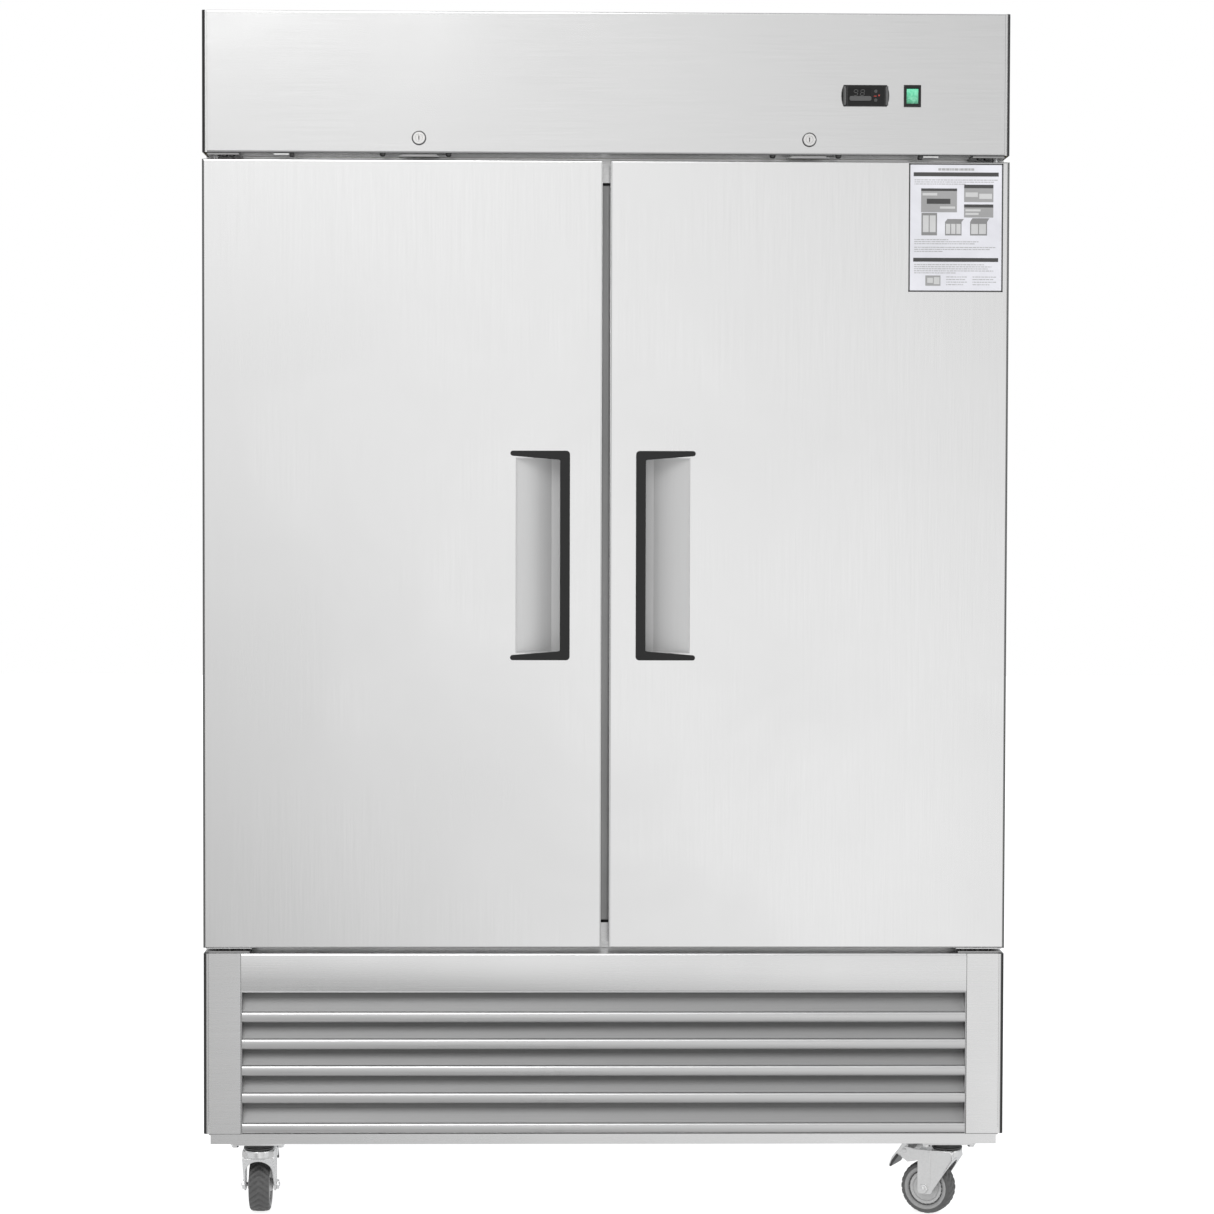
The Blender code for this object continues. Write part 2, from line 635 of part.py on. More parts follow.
def base_frame():
    """Tray on the casters, four posts, and the deck that the insulated box stands on."""
    half = SIDE - RAIL_INSET
    tray = box("base_frame", (-half, half), (FRONT + 0.001, BACK - 0.003), (BASE_LOW, TRAY_TOP))
    post_out = SIDE - RETURN - GAP
    deck = box("base_deck", (-post_out, post_out), (FRONT + 0.002, BACK - 0.003),
               (BASE_TOP - DECK_THICK, BASE_TOP))
    posts = []
    for name, sign in SIDES.items():
        x = (sign * post_out, sign * (SIDE - POST_WIDTH))
        rise = (TRAY_TOP - 0.002, BASE_TOP)
        posts.append(box("post_front_" + name, x, (FRONT, FRONT + POST_DEPTH), rise))
        posts.append(box("post_rear_" + name, x, (BACK - 0.030, BACK - 0.003), rise))
    recess = box("tray_recess", (-half + TRAY_PAD, half - TRAY_PAD),
                 (FRONT + TRAY_PAD, BACK - TRAY_PAD), (BASE_LOW - OVER, TRAY_TOP - DECK_THICK))
    keep(cut(join(tray, deck, *posts), recess), STEEL)


def louvre_outline(low):
    """One louvre: its blunt nose on the front plane, and its blade sloping up behind."""
    top = low + NOSE_HEIGHT
    return [(0.0012, low), (0, low + 0.0012), (0, top - 0.0012), (0.0010, top),
            (LOUVRE_RUN, top + LOUVRE_RISE), (LOUVRE_RUN + 0.0012, top + LOUVRE_RISE - 0.0008),
            (0.0030, top - 0.0020), (0.0030, low)]


def grille_panel():
    """Front of the machine compartment: a plain rail over five louvres between end brackets."""
    half = SIDE - POST_WIDTH - GAP
    depth = 0.0015
    rail = box("grille_panel", (-half, half), (FRONT, FRONT + depth), (LOUVRE_TOP, BASE_TOP))
    pieces = []
    for name, sign in SIDES.items():
        pieces.append(box("grille_end_" + name, (sign * half, sign * (half - 0.002)),
                          (FRONT + 0.0012, FRONT + LOUVRE_RUN + 0.006), (TRAY_TOP + GAP, LOUVRE_TOP + OVER)))
    for number, low in enumerate(NOSE_LOWS, 1):
        pieces.append(prism(f"louvre_{number}", louvre_outline(low), 2 * half - 0.002, "YZ", (0, FRONT, 0)))
    keep(join(rail, *pieces), STAINLESS)


def rear_cover():
    """Back of the machine compartment, with vent slots and the cord's hole."""
    half = SIDE - POST_WIDTH - GAP
    y = (BACK - COVER_IN, BACK - COVER_IN + SHEET)
    cover = box("rear_cover", (-half, half), y, (TRAY_TOP + GAP, BASE_TOP - DECK_THICK - GAP))
    slots = [box(f"rear_slot_{row}", around(0, VENT[0]), (BACK - 0.05, BACK + OVER),
                 around(VENT[1] + VENT[2] * row, 0.006)) for row in range(5)]
    hole = cylinder("gland_hole", (GLAND[0], BACK, GLAND[1]), GLAND_RADIUS + GAP, 0.1, "Y", 16)
    keep(cut(cover, *slots, hole), STEEL)


def cord_gland():
    """Bushing that the supply cord leaves through."""
    bore, rim = 0.0045, GLAND_RADIUS + 0.004
    profile = [(bore, 0.010), (rim - 0.001, 0.010), (rim, 0.009), (rim, GAP), (GLAND_RADIUS, GAP),
               (GLAND_RADIUS, -0.014), (bore, -0.014)]
    place = (GLAND[0], BACK - COVER_IN + SHEET, GLAND[1])
    gland = turned("cord_gland", profile, "Y", place, 16, closed=True)
    gland.rotation_euler = (-math.pi / 2, 0, 0)
    keep(gland, BLACK_PLASTIC)


# ---- casters -------------------------------------------------------------------------------

def caster(name, yaw):
    """A plate caster; its own axes have the swivel at the origin and the wheel trailing to -X."""
    end, side = name.split("_")
    y = FRONT + CASTER_FRONT_IN if end == "front" else BACK - CASTER_REAR_IN
    place = (SIDES[side] * CASTER_X, y, 0)
    fixed = axis_empty("caster_place_" + name, place)
    top_plate(name, fixed)
    frame = axis_empty("swivel_axis_" + name, place, yaw)
    fork(name, frame)
    wheel(name, frame)
    if end == "front":
        brake(name, frame)


def top_plate(name, frame):
    length, width, thick = PLATE
    high = BASE_LOW - GAP
    plate = box("caster_plate_" + name, around(0, length / 2), around(0, width / 2), (high - thick, high),
                frame)
    low = FORK_TOP + GAP
    top = high - thick / 2
    race = cylinder("race_" + name, (0, 0, (low + top) / 2), RACE_RADIUS, top - low, "Z", 24, frame)
    keep(join(plate, race), ZINC)


def fork(name, frame):
    """Swivel fork: crown, two legs that sweep back to the axle, and the axle."""
    half = FORK_WIDTH / 2
    top, axle, rear = FORK_TOP - 0.001, WHEEL_RADIUS, -TRAIL - LEG_REAR
    crown = cylinder("fork_" + name, (0, 0, FORK_TOP - 0.006), RACE_RADIUS + 0.002, 0.012, "Z", 24, frame)
    bridge = box("fork_bridge_" + name, (rear, 0), around(0, half), (FORK_TOP - 0.0095, FORK_TOP), frame)
    leg = [(0.016, top), (0.020, top - 0.013), (-TRAIL + 0.016, axle - 0.004),
           (-TRAIL + 0.010, axle - 0.0085), (-TRAIL - 0.006, axle - 0.0085), (rear, axle - 0.003),
           (rear, top - 0.020)]
    x, z = BRAKE_PIVOT
    ear = [(rear - 0.006, z - 0.017), (x + 0.007, z - 0.0195), (x - 0.008, z - 0.009),
           (x - 0.0055, z + 0.001), (x + 0.002, z + 0.007), (rear - 0.006, top)]
    outline = leg + (ear if name.startswith("front") else [(rear, top)])
    legs = [prism(f"fork_leg_{hand}_{name}", outline, FORK_SHEET, "XZ",
                  (0, sign * (half - FORK_SHEET / 2), 0), frame) for hand, sign in SIDES.items()]
    axle_pin = cylinder("axle_" + name, (-TRAIL, 0, axle), AXLE_RADIUS, FORK_WIDTH + 0.008, "Y", 16, frame)
    keep(join(crown, bridge, *legs, axle_pin), ZINC)


def wheel(name, frame):
    """Solid tyre on a light hub, bored for the axle."""
    half, r = WHEEL_WIDTH / 2, WHEEL_RADIUS
    edge = [(AXLE_RADIUS + RUN, half + 0.004), (0.012, half + 0.004), (0.013, half - 0.003),
            (r - 0.014, half - 0.003), (r - 0.012, half), (r - 0.0035, half - 0.001), (r, half - 0.006)]
    profile = edge + [(radius, -height) for radius, height in reversed(edge)]
    keep(turned("wheel_" + name, profile, "Y", (-TRAIL, 0, r), 32, True, frame), TYRE)


def brake(name, frame):
    """Foot brake between the fork's rear ears."""
    x, z = BRAKE_PIVOT
    lever = [(x + 0.006, z + 0.010), (x, z + 0.0135), (x - 0.006, z + 0.010), (x - 0.012, z + 0.001),
             (x - 0.024, z - 0.014), (x - 0.0305, z - 0.030), (x - 0.027, z - 0.0315), (x - 0.019, z - 0.019),
             (x - 0.006, z - 0.006), (x + 0.004, z - 0.004)]
    width = FORK_WIDTH - 2 * FORK_SHEET - 0.001
    keep(prism("brake_" + name, lever, width, "XZ", (0, 0, 0), frame), ZINC)


# ---- interior ------------------------------------------------------------------------------

def shelf(side, number, level):
    """Wire shelf as a grid of bars in a rim."""
    sign = SIDES[side]
    x = sorted((sign * SHELF_CENTRE, sign * (LINER_X - SHELF_SIDE)))
    y = (FACE + MULLION_DEPTH + 0.020, INNER_BACK - 0.030)
    grid = box(f"shelf_{side}_{number}", x, y, (level, level + SHELF_THICK))
    rim = 0.010
    slots = int((x[1] - x[0] - 2 * rim) / SHELF_PITCH)
    width = (x[1] - x[0] - 2 * rim - (slots - 1) * SHELF_BAR) / slots
    for place in range(slots):
        start = x[0] + rim + place * (width + SHELF_BAR)
        cut(grid, box(f"slot_{side}_{number}_{place}", (start, start + width), (y[0] + rim, y[1] - rim),
                      (level - OVER, level + OVER)))
    keep(grid, WIRE)


def evaporator():
    """Ceiling housing of the cooling coil, with its fan in the underside."""
    x, y, z = (-0.32, 0.32), (INNER_BACK - 0.27, INNER_BACK - 0.003), (HOUSING_LOW, CEILING - GAP)
    cover = box("evaporator_cover", x, y, z)
    t = 0.002
    hollow = box("evaporator_hollow", (x[0] + t, x[1] - t), (y[0] + t, y[1] - t), (z[0] + t, z[1] + OVER))
    centre = (0, (y[0] + y[1]) / 2)
    hole = cylinder("evaporator_fan_hole", (*centre, z[0]), FAN_RADIUS - 0.010, 0.03, "Z", 32)
    bar = box("evaporator_motor_bar", (x[0] + t / 2, x[1] - t / 2), around(centre[1], 0.008),
              (z[0] + 0.050, z[0] + 0.054))
    motor = cylinder("evaporator_motor", (*centre, z[0] + 0.045), 0.026, 0.040, "Z", 20)
    keep(join(cut(cover, hollow, hole), bar, motor), GREY_PLASTIC)
    fan("evaporator_fan", (*centre, z[0] + 0.010), FAN_RADIUS - 0.010 - FAN_CLEAR, "Z")


def fan(name, place, radius, way):
    """Axial fan: a hub with pitched blades."""
    hub = cylinder(name, place, HUB_RADIUS, 0.020, way, 20)
    middle = Vector(place)
    out = Matrix.Translation(((HUB_RADIUS + radius) / 2, 0, 0))
    pitch = Matrix.Rotation(math.radians(25), 4, "X")
    for number in range(FAN_BLADES):
        blade = box(f"{name}_blade_{number}", (HUB_RADIUS - 0.004, radius), around(0, 0.016),
                    around(0, 0.0012))
        blade.data.transform(Matrix.Rotation(2 * math.pi * number / FAN_BLADES, 4, "Z") @ out @ pitch)
        blade.location = middle
        blade.rotation_euler = WAYS[way]
        join(hub, blade)
    keep(hub, BLACK_PLASTIC)


def condensing_unit():
    """Coil behind the grille, its fan and shroud, and the compressor."""
    y0 = FRONT + COIL_Y
    z = (TRAY_TOP + GAP, BASE_TOP - DECK_THICK - 0.012)
    coil = box("condenser_coil", COIL_X, (y0, y0 + COIL_DEPTH), z)
    keep(coil, ALUMINIUM)
    y1 = y0 + COIL_DEPTH + GAP
    x, level = sum(COIL_X) / 2, sum(z) / 2
    bore_radius = FAN_RADIUS + FAN_CLEAR
    shroud = box("fan_shroud", COIL_X, (y1, y1 + 0.003), z)
    ring = cylinder("shroud_ring", (x, y1 + 0.020, level), bore_radius + 0.002, 0.038, "Y", 32)
    bore = cylinder("shroud_bore", (x, y1 + 0.020, level), bore_radius, 0.08, "Y", 32)
    arm = box("motor_arm", around(x, FAN_RADIUS + 0.005), (y1 + 0.036, y1 + 0.039), around(level, 0.009))
    motor = cylinder("fan_motor", (x, y1 + 0.060, level), 0.034, 0.048, "Y", 24)
    keep(join(cut(join(shroud, ring), bore), arm, motor), STEEL)
    fan("condenser_fan", (x, y1 + 0.020, level), FAN_RADIUS, "Y")
    compressor(z[0])


def compressor(floor):
    """Hermetic compressor: a domed can on a foot plate."""
    profile = [(0, 0.205), (0.035, 0.202), (0.060, 0.192), (0.078, 0.172), (0.085, 0.145), (0.085, 0.110),
               (0.088, 0.108), (0.088, 0.100), (0.085, 0.098), (0.083, 0.050), (0.072, 0.026), (0.050, 0.016),
               (0, 0.014)]
    x, y = COMPRESSOR
    can = turned("compressor", profile, "Z", (x, y, floor), 24)
    foot = box("compressor_foot", around(x, 0.100), around(y, 0.080), (floor, floor + 0.004))
    stem = cylinder("compressor_stem", (x, y, floor + 0.014), 0.040, 0.022, "Z", 16)
    keep(join(can, foot, stem), DARK_PAINT)


clear_scene()
PARTS = collection("reach_in_refrigerator")
CUTTERS = collection("cutters")

STAINLESS = material("stainless", (0.62, 0.63, 0.64), 0.32, 1.0)
STEEL = material("galvanised_steel", (0.55, 0.56, 0.57), 0.45, 1.0)
ZINC = material("zinc_plate", (0.70, 0.71, 0.72), 0.35, 1.0)
CHROME = material("nickel", (0.75, 0.74, 0.72), 0.20, 1.0)
ALUMINIUM = material("coil_aluminium", (0.68, 0.69, 0.70), 0.40, 1.0)
LINER = material("liner_aluminium", (0.72, 0.73, 0.74), 0.40, 1.0)
WIRE = material("coated_wire", (0.80, 0.81, 0.82), 0.35, 0.0)
GREY_PLASTIC = material("grey_plastic", (0.30, 0.31, 0.32), 0.50, 0.0)
BLACK_PLASTIC = material("black_plastic", (0.025, 0.025, 0.028), 0.40, 0.0)
GREEN = material("green_plastic", (0.10, 0.55, 0.28), 0.25, 0.0)
GASKET = material("gasket_rubber", (0.12, 0.12, 0.13), 0.70, 0.0)
FOAM = material("foam", (0.80, 0.72, 0.48), 0.90, 0.0)
TYRE = material("tyre_rubber", (0.22, 0.22, 0.23), 0.60, 0.0)
DARK_PAINT = material("dark_paint", (0.02, 0.02, 0.02), 0.45, 0.0)

for make in (outer_wrapper, back_panel, insulation, liner, face_frame, mullion, header_panel, controller,
             buttons, power_switch, base_frame, grille_panel, rear_cover, cord_gland, evaporator,
             condensing_unit):
    make()
for side_name in SIDES:
    lock(side_name)
    door(side_name)
    for shelf_number, shelf_level in enumerate(SHELF_LEVELS, 1):
        shelf(side_name, shelf_number, shelf_level)
for caster_name, caster_yaw in CASTERS.items():
    caster(caster_name, caster_yaw)
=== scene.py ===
"""Two-door stainless reach-in refrigerator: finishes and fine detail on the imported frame."""
import json
import math

import bmesh
import bpy
import numpy as np
from mathutils import Matrix, Vector


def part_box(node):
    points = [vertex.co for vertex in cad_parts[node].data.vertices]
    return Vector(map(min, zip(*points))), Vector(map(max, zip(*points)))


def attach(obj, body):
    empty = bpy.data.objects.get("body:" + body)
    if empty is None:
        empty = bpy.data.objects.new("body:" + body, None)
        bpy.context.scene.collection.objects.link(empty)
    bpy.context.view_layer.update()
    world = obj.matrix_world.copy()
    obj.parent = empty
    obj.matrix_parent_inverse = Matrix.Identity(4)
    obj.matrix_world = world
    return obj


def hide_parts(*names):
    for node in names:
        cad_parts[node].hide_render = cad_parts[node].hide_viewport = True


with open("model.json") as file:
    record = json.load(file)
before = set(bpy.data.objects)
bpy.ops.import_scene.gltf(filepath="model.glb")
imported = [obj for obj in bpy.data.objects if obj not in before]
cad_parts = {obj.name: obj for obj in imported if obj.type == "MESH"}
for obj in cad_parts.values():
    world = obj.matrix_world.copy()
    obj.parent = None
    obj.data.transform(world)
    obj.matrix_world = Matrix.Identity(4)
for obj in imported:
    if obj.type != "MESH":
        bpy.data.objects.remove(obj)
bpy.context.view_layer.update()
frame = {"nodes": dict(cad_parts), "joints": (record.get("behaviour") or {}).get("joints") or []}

# ---- camera ---------------------------------------------------------------------------------
# A long lens at chest height, square to the doors apart from about one degree to the right
# and two degrees down, with the whole cabinet in a square picture.

EYE = (-0.09349, -5.708, 1.23701)
TURN, DOWN, ROLL = 0.01811, 0.03489, 0.00274
ahead = np.array([math.sin(TURN) * math.cos(DOWN), math.cos(TURN) * math.cos(DOWN), -math.sin(DOWN)])
level = np.cross(ahead, (0, 0, 1))
level /= np.linalg.norm(level)
above = np.cross(level, ahead)
right = math.cos(ROLL) * level + math.sin(ROLL) * above
up = math.cos(ROLL) * above - math.sin(ROLL) * level
lens = bpy.data.cameras.new("camera")
lens.sensor_width = 36.0
lens.lens = 92.218715
lens.clip_end = 60.0
camera = bpy.data.objects.new("camera", lens)
bpy.context.scene.collection.objects.link(camera)
camera.matrix_world = Matrix(np.block([[np.column_stack([right, up, -ahead]), np.array(EYE)[:, None]],
                                       [np.array([[0, 0, 0, 1]])]]).tolist())
bpy.context.scene.camera = camera
bpy.context.scene.view_settings.view_transform = "Standard"

# ---- floor and light ------------------------------------------------------------------------
# A plain white studio: a pale floor, a white room that is a little darker low on the left and
# high on the right, and two large soft boxes over the front.


def node(tree, kind, links=None, **values):
    """A shader node with its sockets set; links joins its inputs to other sockets."""
    made = tree.nodes.new(kind)
    for name, value in values.items():
        setattr(made, name, value)
    for socket, source in (links or {}).items():
        if hasattr(source, "is_linked"):
            tree.links.new(source, made.inputs[socket])
        else:
            made.inputs[socket].default_value = source
    return made


def ramp(tree, source, stops):
    """A grey ramp from (place, value) stops."""
    made = node(tree, "ShaderNodeValToRGB", {0: source})
    while len(made.color_ramp.elements) < len(stops):
        made.color_ramp.elements.new(0.5)
    for element, (place, value) in zip(made.color_ramp.elements, stops):
        element.position = place
        element.color = (value, value, value, 1)
    return made.outputs["Color"]


room = bpy.data.worlds.new("white_room")
room.use_nodes = True
bpy.context.scene.world = room
air = room.node_tree
air.nodes.clear()
way = node(air, "ShaderNodeSeparateXYZ", {0: node(air, "ShaderNodeTexCoord").outputs["Generated"]})
slope = node(air, "ShaderNodeMath", {0: way.outputs["Z"], 1: 0.75, 2: way.outputs["X"]},
             operation="MULTIPLY_ADD")
spread = node(air, "ShaderNodeMath", {0: slope.outputs[0], 1: 0.625, 2: 0.5}, operation="MULTIPLY_ADD")
tone = ramp(air, spread.outputs[0], [(0.0, 0.80), (0.12, 0.74), (0.25, 0.30), (0.34, 0.44), (0.43, 1.04),
                                     (0.51, 1.14), (0.58, 1.02), (0.68, 0.74), (0.78, 0.66), (0.92, 0.85)])
toward = node(air, "ShaderNodeMapRange", {0: way.outputs["Y"], 1: 0.1, 2: -0.75, 3: 0.0, 4: 1.0})
shade = node(air, "ShaderNodeMix", {0: toward.outputs[0], 6: (0.78, 0.79, 0.80, 1), 7: tone},
             data_type="RGBA")
seen = node(air, "ShaderNodeMix", {0: node(air, "ShaderNodeLightPath").outputs["Is Camera Ray"],
                                   6: shade.outputs[2], 7: (1, 1, 1, 1)}, data_type="RGBA")
glow = node(air, "ShaderNodeBackground", {0: seen.outputs[2], 1: 1.0})
node(air, "ShaderNodeOutputWorld", {0: glow.outputs[0]})


def soft_box(name, place, aim, size, power):
    """A square area light at place, turned towards aim."""
    light = bpy.data.lights.new(name, "AREA")
    light.size = size
    light.energy = power
    lamp = bpy.data.objects.new(name, light)
    lamp.location = place
    lamp.rotation_euler = (Vector(aim) - lamp.location).to_track_quat("-Z", "Y").to_euler()
    bpy.context.scene.collection.objects.link(lamp)


soft_box("box_over_front", (-1.5, -4.2, 4.6), (0, 0, 0.9), 3.0, 90)
soft_box("box_right", (4.4, -2.6, 2.6), (0, 0, 1.0), 2.2, 45)

reach = np.array([[-14, -9, 0], [14, -9, 0], [14, 16, 0], [-14, 16, 0]], float)
ground = bpy.data.meshes.new("floor")
ground.from_pydata(reach.tolist(), [], [(0, 1, 2, 3)])
floor = bpy.data.objects.new("floor", ground)
bpy.context.scene.collection.objects.link(floor)
floor.visible_glossy = False
pale = bpy.data.materials.new("pale_floor")
pale.use_nodes = True
matt = pale.node_tree.nodes["Principled BSDF"].inputs
matt["Base Color"].default_value = (0.55, 0.55, 0.55, 1)
matt["Roughness"].default_value = 0.9
matt["Emission Color"].default_value = (1, 1, 1, 1)
matt["Emission Strength"].default_value = 0.80
ground.materials.append(pale)

# ---- cabinet shell --------------------------------------------------------------------------
# Folded stainless sheet with a fine rolled grain: sides and top in one wrap, a header cover and
# the frame round the doorway.


def effect(name, inputs, outputs):
    """An empty node group with float or vector inputs (name: default) and float outputs."""
    group = bpy.data.node_groups.new(name, "ShaderNodeTree")
    for label, value in inputs.items():
        kind = "NodeSocketFloat" if isinstance(value, float) else "NodeSocketVector"
        group.interface.new_socket(label, in_out="INPUT", socket_type=kind).default_value = value
    for label in outputs:
        group.interface.new_socket(label, in_out="OUTPUT", socket_type="NodeSocketFloat")
    return group, group.nodes.new("NodeGroupInput"), group.nodes.new("NodeGroupOutput")


# rolled grain: noise stretched along the rolling direction, in two finenesses
GRAIN, ins, outs = effect("rolled_grain", {"Place": (0.0, 0.0, 0.0), "Stretch": (1.0, 1.0, 1.0)}, ["Grain"])
stretched = node(GRAIN, "ShaderNodeVectorMath", {0: ins.outputs["Place"], 1: ins.outputs["Stretch"]},
                 operation="MULTIPLY")
coarse = node(GRAIN, "ShaderNodeTexNoise", {"Vector": stretched.outputs[0], "Scale": 1.0, "Detail": 4.0,
                                            "Roughness": 0.7})
fine = node(GRAIN, "ShaderNodeTexNoise", {"Vector": stretched.outputs[0], "Scale": 3.7, "Detail": 2.0,
                                          "Roughness": 0.6})
both = node(GRAIN, "ShaderNodeMath", {0: coarse.outputs[0], 1: fine.outputs[0]}, operation="ADD")
half = node(GRAIN, "ShaderNodeMath", {0: both.outputs[0], 1: 0.5}, operation="MULTIPLY")
GRAIN.links.new(half.outputs[0], outs.inputs["Grain"])

# handling marks: broad soft patches where the sheet has been wiped
MARKS, ins, outs = effect("wiped_marks", {"Place": (0.0, 0.0, 0.0), "Size": 3.0}, ["Marks"])
patch = node(MARKS, "ShaderNodeTexNoise", {"Vector": ins.outputs["Place"], "Scale": ins.outputs["Size"],
                                           "Detail": 5.0, "Roughness": 0.55, "Distortion": 0.6})
soft = node(MARKS, "ShaderNodeMapRange", {0: patch.outputs[0], 1: 0.38, 2: 0.66, 3: 0.0, 4: 1.0})
MARKS.links.new(soft.outputs[0], outs.inputs["Marks"])

# worn edges: where the normal of a rounded copy of the surface leaves the surface's own normal
WEAR, ins, outs = effect("worn_edges", {"Place": (0.0, 0.0, 0.0), "Width": 0.0012}, ["Wear"])
rounded = node(WEAR, "ShaderNodeBevel", {"Radius": ins.outputs["Width"]}, samples=4)
own = node(WEAR, "ShaderNodeNewGeometry")
agree = node(WEAR, "ShaderNodeVectorMath", {0: rounded.outputs[0], 1: own.outputs["Normal"]},
             operation="DOT_PRODUCT")
edge = node(WEAR, "ShaderNodeMapRange", {0: agree.outputs["Value"], 1: 0.99, 2: 0.80, 3: 0.0, 4: 1.0})
broken = node(WEAR, "ShaderNodeTexNoise", {"Vector": ins.outputs["Place"], "Scale": 160.0, "Detail": 4.0})
worn = node(WEAR, "ShaderNodeMath", {0: edge.outputs[0], 1: broken.outputs[0]}, operation="MULTIPLY")
WEAR.links.new(worn.outputs[0], outs.inputs["Wear"])


def put(tree, group, **values):
    """A node group in a material, with its Place on the piece's own coordinates."""
    made = node(tree, "ShaderNodeGroup", node_tree=group)
    for name, value in values.items():
        made.inputs[name].default_value = value
    place = tree.nodes.get("place") or node(tree, "ShaderNodeTexCoord", name="place")
    tree.links.new(place.outputs["Object"], made.inputs["Place"])
    return made.outputs[0]


def mixed(tree, factor, first, second):
    """A colour between two, by a factor."""
    made = node(tree, "ShaderNodeMix", {0: factor, 6: first, 7: second}, data_type="RGBA")
    return made.outputs[2]


def between(tree, source, low, high):
    """A value carried from 0..1 to low..high."""
    return node(tree, "ShaderNodeMapRange", {0: source, 1: 0.0, 2: 1.0, 3: low, 4: high}).outputs[0]


def grey(value, warm=0.0):
    """A neutral colour of this value, a little warm or cool."""
    return (value * (1 + warm), value, value * (1 - warm), 1.0)


# painted shade on bends: 1 along an edge, where a place (times its way) passes a start and reaches its end
BEND_SHADE, ins, outs = effect("shaded_bends", {"Place": (0.0, 0.0, 0.0), "Way": (1.0, 0.0, 0.0),
                                           "From": 0.0, "To": 1.0}, ["Bend"])
away = node(BEND_SHADE, "ShaderNodeVectorMath", {0: ins.outputs["Place"]}, operation="ABSOLUTE")
along = node(BEND_SHADE, "ShaderNodeVectorMath", {0: away.outputs[0], 1: ins.outputs["Way"]},
             operation="DOT_PRODUCT")
past = node(BEND_SHADE, "ShaderNodeMapRange", {0: along.outputs["Value"], 1: ins.outputs["From"],
                                          2: ins.outputs["To"], 3: 0.0, 4: 1.0})
BEND_SHADE.links.new(past.outputs[0], outs.inputs["Bend"])


def darker(colour, share):
    """The same colour with each part cut to a share of it."""
    return tuple(part * share for part in colour[:3]) + (1.0,)


def started(name):
    """A new material with its tree of nodes and its shader."""
    made = bpy.data.materials.new(name)
    made.use_nodes = True
    return made, made.node_tree, made.node_tree.nodes["Principled BSDF"]


def finished(tree, shader, base, roughness, height, bump, distance):
    """Join colour, roughness and a height map to a shader."""
    tree.links.new(base, shader.inputs["Base Color"])
    rough = node(tree, "ShaderNodeMath", {0: roughness[0], 1: roughness[1]}, operation="ADD").outputs[0]
    tree.links.new(rough, shader.inputs["Roughness"])
    relief = node(tree, "ShaderNodeBump", {"Strength": bump, "Distance": distance, "Height": height})
    tree.links.new(relief.outputs[0], shader.inputs["Normal"])


def rolled_sheet(name, colour, roughness, stretch, depth=0.12, bump=0.04, wiped=0.05, wear=0.0,
                 metallic=1.0, bend_shade=()):
    """Bare metal sheet: rolled grain in its colour, roughness and height, and wiped patches.

    Each bend given as (way, from, to, colour) darkens a folded edge with painted shade."""
    made, tree, shader = started(name)
    shader.inputs["Metallic"].default_value = metallic
    grain = put(tree, GRAIN, Stretch=stretch)
    marks = put(tree, MARKS, Size=2.6)
    contrast = node(tree, "ShaderNodeMapRange", {0: grain, 1: 0.30, 2: 0.70, 3: 0.0, 4: 1.0}).outputs[0]
    base = mixed(tree, contrast, darker(colour, 1 - depth), colour)
    base = mixed(tree, between(tree, marks, 0.0, 0.35), base, darker(colour, 0.95))
    for direction, start, end, tint in bend_shade:
        base = mixed(tree, put(tree, BEND_SHADE, Way=direction, From=start, To=end), base, tint)
    if wear:
        base = mixed(tree, between(tree, put(tree, WEAR, Width=0.0015), 0.0, wear), base, grey(0.85))
    rough = between(tree, contrast, roughness - 0.04, roughness + 0.04), between(tree, marks, 0.0, wiped)
    finished(tree, shader, base, rough, grain, bump, 0.0004)
    return made


def dress(material, *names):
    """Give CAD nodes their finish."""
    for name in names:
        slots = frame["nodes"][name].data.materials
        slots.clear()
        slots.append(material)


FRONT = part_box("header_panel")[0].y
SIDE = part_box("outer_wrapper")[1].x
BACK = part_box("back_panel")[1].y
HEAD_LOW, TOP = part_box("header_panel")[0].z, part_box("header_panel")[1].z
DOOR_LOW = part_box("door_skin_left")[0].z
BASE_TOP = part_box("base_frame")[1].z

CORNER = SIDE - FRONT          # |x| + |y| at the cabinet's front corners
DOOR_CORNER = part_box("door_skin_right")[1].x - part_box("door_skin_right")[0].y
ALONG = (1.0, 1.0, 0.0)
# painted shade: the header's lower and upper bends, the door skins' outer corners and the cabinet's front
# corners are darkened in colour
across_grain = rolled_sheet("stainless_across", grey(0.74), 0.20, (5.0, 900.0, 900.0),
                            bend_shade=[((0.0, 0.0, -1.0), -HEAD_LOW - 0.0022, -HEAD_LOW - 0.0004, grey(0.30)),
                                   ((0.0, 0.0, 1.0), TOP - 0.0026, TOP - 0.0008, grey(0.48))])
face_sheet = rolled_sheet("face_sheet", grey(0.74), 0.26, (5.0, 900.0, 900.0))
# painted light: the door skins are a lighter copy of the same stainless, making up for their darker
# reflections
upright_grain_lightened = rolled_sheet("stainless_upright", grey(0.83), 0.20, (900.0, 900.0, 5.0),
                             bend_shade=[(ALONG, DOOR_CORNER - 0.0046, DOOR_CORNER - 0.0034, grey(0.16))])
wrap_grain = rolled_sheet("stainless_wrap", grey(0.74), 0.22, (900.0, 900.0, 5.0), 0.14,
                          bend_shade=[(ALONG, CORNER - 0.0064, CORNER - 0.0050, grey(0.055))])
zinc_sheet = rolled_sheet("galvanised_sheet", grey(0.52, -0.01), 0.42, (60.0, 60.0, 60.0), 0.28, 0.05, 0.10)
dress(wrap_grain, "outer_wrapper")
dress(across_grain, "header_panel")
dress(face_sheet, "face_frame")
dress(zinc_sheet, "back_panel", "rear_cover")


